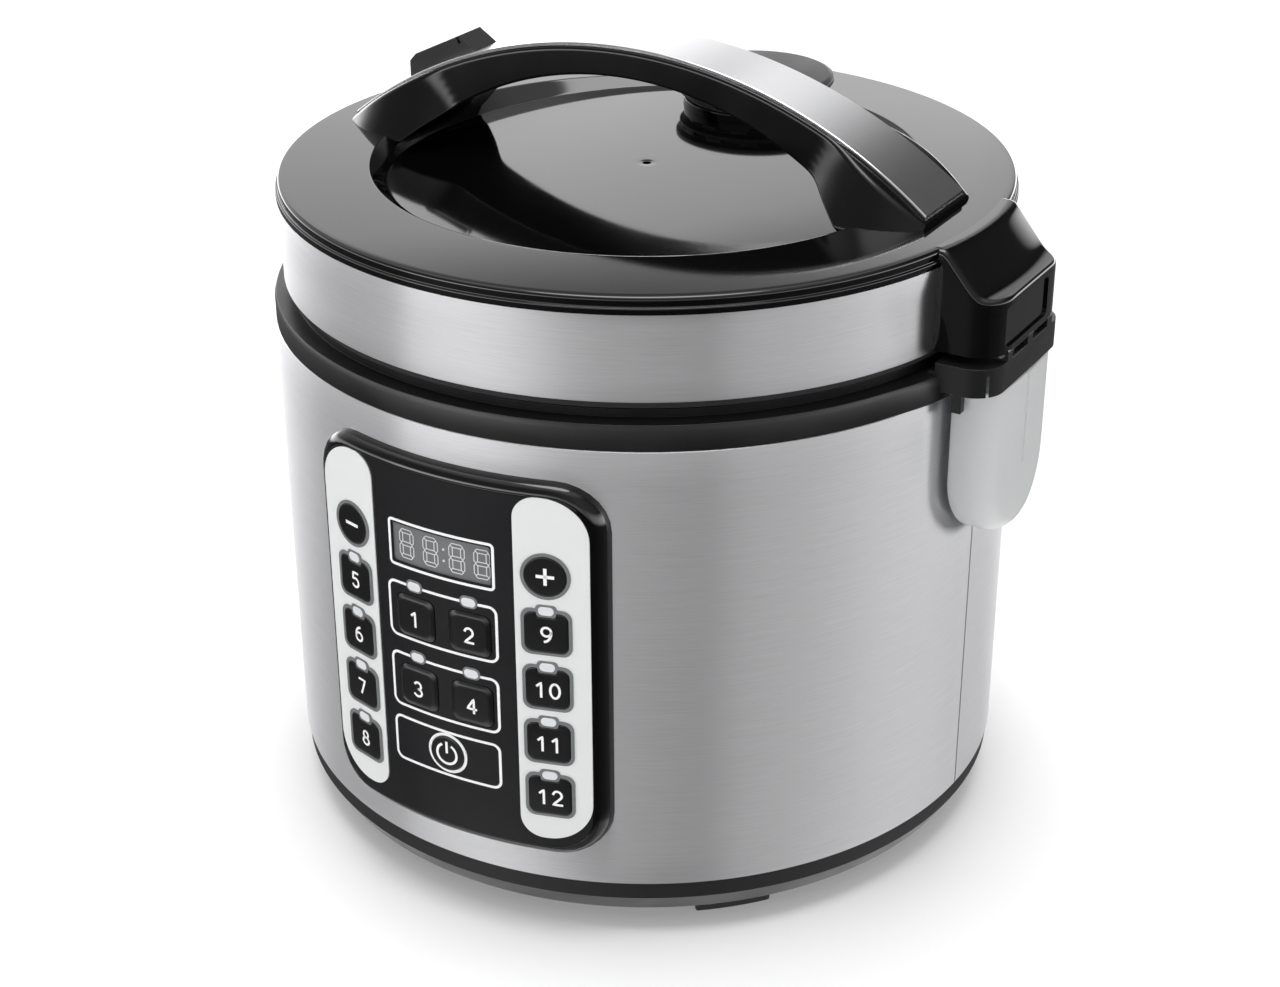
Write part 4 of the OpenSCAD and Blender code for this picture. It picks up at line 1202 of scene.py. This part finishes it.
def studio_light(tree):
    """Brightness of the plain studio by direction.

    Two rows of cards by azimuth. The lower row is times a factor by height, with a dark gap in
    which upright glossy faces look black. The upper row gives way behind the cooker to a wall
    that is bright up to about 23 degrees. A soft light overhead is added. The ramps hold a third
    of each brightness, since a ramp's colours end at 1.
    """
    coord = add(tree, "TexCoord").outputs["Generated"]
    part = add(tree, "SeparateXYZ", {"Vector": coord})
    back = add(tree, "Math", {0: part.outputs["Y"], 1: -1.0}, operation="MULTIPLY")
    az = add(tree, "Math", {0: part.outputs["X"], 1: back.outputs[0]}, operation="ARCTAN2")
    place = add(tree, "MapRange", {"Value": az.outputs[0], "From Min": -pi, "From Max": pi})
    rise = add(tree, "MapRange", {"Value": part.outputs["Z"], "From Min": -1.0})
    shades = []
    for factor, points in ((place, by_azimuth(LOW_CARDS)), (rise, by_height(LOW_HEIGHTS)),
                           (place, by_azimuth(HIGH_CARDS)), (rise, by_height(BEHIND_HEIGHTS)),
                           (place, REAR_SHARE), (rise, UPPER_SHARE), (rise, OVERHEAD_SHARE)):
        node = add(tree, "ValToRGB", {"Fac": factor.outputs["Result"]})
        set_stops(node.color_ramp, points)
        shades.append(node.outputs["Color"])
    low, gap, high, behind, rear, above_level, overhead = shades
    lower = add(tree, "VectorMath", {0: low, 1: gap}, operation="MULTIPLY")
    lower = add(tree, "VectorMath", {0: lower.outputs[0], 3: 9.0}, operation="SCALE")
    upper = add(tree, "Mix", {"Factor": rear, 6: high, 7: behind}, data_type="RGBA")
    upper = add(tree, "VectorMath", {0: upper.outputs[2], 3: 3.0}, operation="SCALE")
    rows = add(tree, "Mix", {"Factor": above_level, 6: lower.outputs[0], 7: upper.outputs[0]},
               data_type="RGBA")
    soft = add(tree, "VectorMath", {0: overhead, 3: ZENITH}, operation="SCALE")
    total = add(tree, "VectorMath", {0: rows.outputs[2], 1: soft.outputs[0]}, operation="ADD")
    return total.outputs[0]


def make_camera():
    """The camera, with a plain view transform."""
    scene = bpy.context.scene
    scene.view_settings.view_transform = "Standard"
    data = bpy.data.cameras.new("camera")
    data.lens, data.sensor_width = LENS, 36.0
    data.clip_start, data.clip_end = 0.01, 50.0
    camera = bpy.data.objects.new("camera", data)
    camera.location = CAMERA_AT
    camera.rotation_euler = tuple(radians(a) for a in CAMERA_TURN)
    scene.collection.objects.link(camera)
    scene.camera = camera


def make_world():
    """Studio light, and plain white where the camera sees past the floor."""
    world = bpy.data.worlds.new("studio")
    bpy.context.scene.world = world
    world.use_nodes = True
    tree = world.node_tree
    tree.nodes.clear()
    ray = add(tree, "LightPath").outputs
    seen = add(tree, "Math", {0: ray["Is Camera Ray"], 1: ray["Is Transmission Ray"]},
               operation="MAXIMUM")
    mix = add(tree, "Mix", {"Factor": seen.outputs[0], 6: studio_light(tree), 7: (1, 1, 1, 1)},
              data_type="RGBA")
    light = add(tree, "Background", {"Color": mix.outputs[2]})
    add(tree, "OutputWorld", {"Surface": light.outputs[0]})


def make_floor():
    """Pale floor: takes the soft shadow, and lets metal see the studio through it."""
    half = 6.0
    mesh = bpy.data.meshes.new("floor")
    corners = [(-half, -half, 0), (half, -half, 0), (half, half, 0), (-half, half, 0)]
    mesh.from_pydata(corners, [], [(0, 1, 2, 3)])
    link_object("floor", mesh)
    # White painted board with a fine even grain.
    tree, out, coord = blank_material("white_painted_board")
    ray = add(tree, "LightPath").outputs
    grain = add(tree, "TexNoise", {"Vector": coord, "Scale": 1000.0 / FLOOR_GRAIN, "Detail": 3.0})
    tone = add(tree, "MapRange", {"Value": grain.outputs["Fac"], "To Min": 0.74, "To Max": 0.75})
    white = add(tree, "BsdfDiffuse", {"Color": tone.outputs["Result"]})
    glow = add(tree, "Emission", {"Strength": FLOOR_GLOW})
    lit = add(tree, "AddShader", {0: white.outputs[0], 1: glow.outputs[0]})
    clear = add(tree, "BsdfTransparent")
    seen = add(tree, "Math", {0: ray["Is Glossy Ray"], 1: ray["Is Transmission Ray"]},
               operation="MAXIMUM")
    both = add(tree, "MixShader", {0: seen.outputs[0], 1: lit.outputs[0], 2: clear.outputs[0]})
    tree.links.new(both.outputs[0], out.inputs["Surface"])
    mesh.materials.append(MATERIALS["white_painted_board"])


def make_stage():
    """Camera, pale floor and studio light."""
    make_camera()
    make_world()
    make_floor()


# ---------------------------------------------------------------- operators
def operator(idname, label, work, text):
    """One operator that runs one of the builders above."""
    def execute(self, context):
        work()
        return {"FINISHED"}
    return type("COOKER_OT_" + idname, (bpy.types.Operator,),
                {"bl_idname": "cooker." + idname, "bl_label": label, "__doc__": text,
                 "execute": execute})


STEPS = [
    operator("stage", "Stage", make_stage, "Camera, pale floor and studio light"),
    operator("finishes", "Finishes", make_finishes, "All the materials"),
    operator("body", "Body", make_body, "Steel skin, black ring, base, feet and inlet"),
    operator("lid", "Lid", make_lid, "Steel band and polished top"),
    operator("handle", "Handle", make_handle, "Handle, steel strip and release button"),
    operator("hinge", "Hinge housing", make_hinge, "Polished housing of the hinge"),
    operator("vent", "Steam vent", make_vent, "Vent cap and well"),
    operator("cup", "Drip cup", make_cup, "Translucent drip cup"),
    operator("panel", "Panel", make_panel, "Bezel, strips, display and prints"),
    operator("keys", "Keys", make_keys, "Key caps and their signs"),
    operator("inside", "Inside", make_inside, "Pot, liner, heater and lining"),
]


class COOKER_PT_panel(bpy.types.Panel):
    """Lists the steps of the build."""
    bl_idname = "COOKER_PT_panel"
    bl_label = "Slow cooker"
    bl_space_type = "VIEW_3D"
    bl_region_type = "UI"
    bl_category = "Cooker"

    def draw(self, context):
        for step in STEPS:
            self.layout.operator(step.bl_idname)


CLASSES = [CookerFinish, CookerSizes, *STEPS, COOKER_PT_panel]


def register():
    for cls in CLASSES:
        bpy.utils.register_class(cls)
    bpy.types.Scene.cooker_finish = bpy.props.PointerProperty(type=CookerFinish)
    bpy.types.Scene.cooker_sizes = bpy.props.PointerProperty(type=CookerSizes)


def unregister():
    del bpy.types.Scene.cooker_sizes
    del bpy.types.Scene.cooker_finish
    for cls in reversed(CLASSES):
        bpy.utils.unregister_class(cls)


def main():
    """Registers the classes, runs every step in order and writes the two boxes."""
    register()
    for step in STEPS:
        group, name = step.bl_idname.split(".")
        getattr(getattr(bpy.ops, group), name)()


if __name__ == "__main__":
    main()
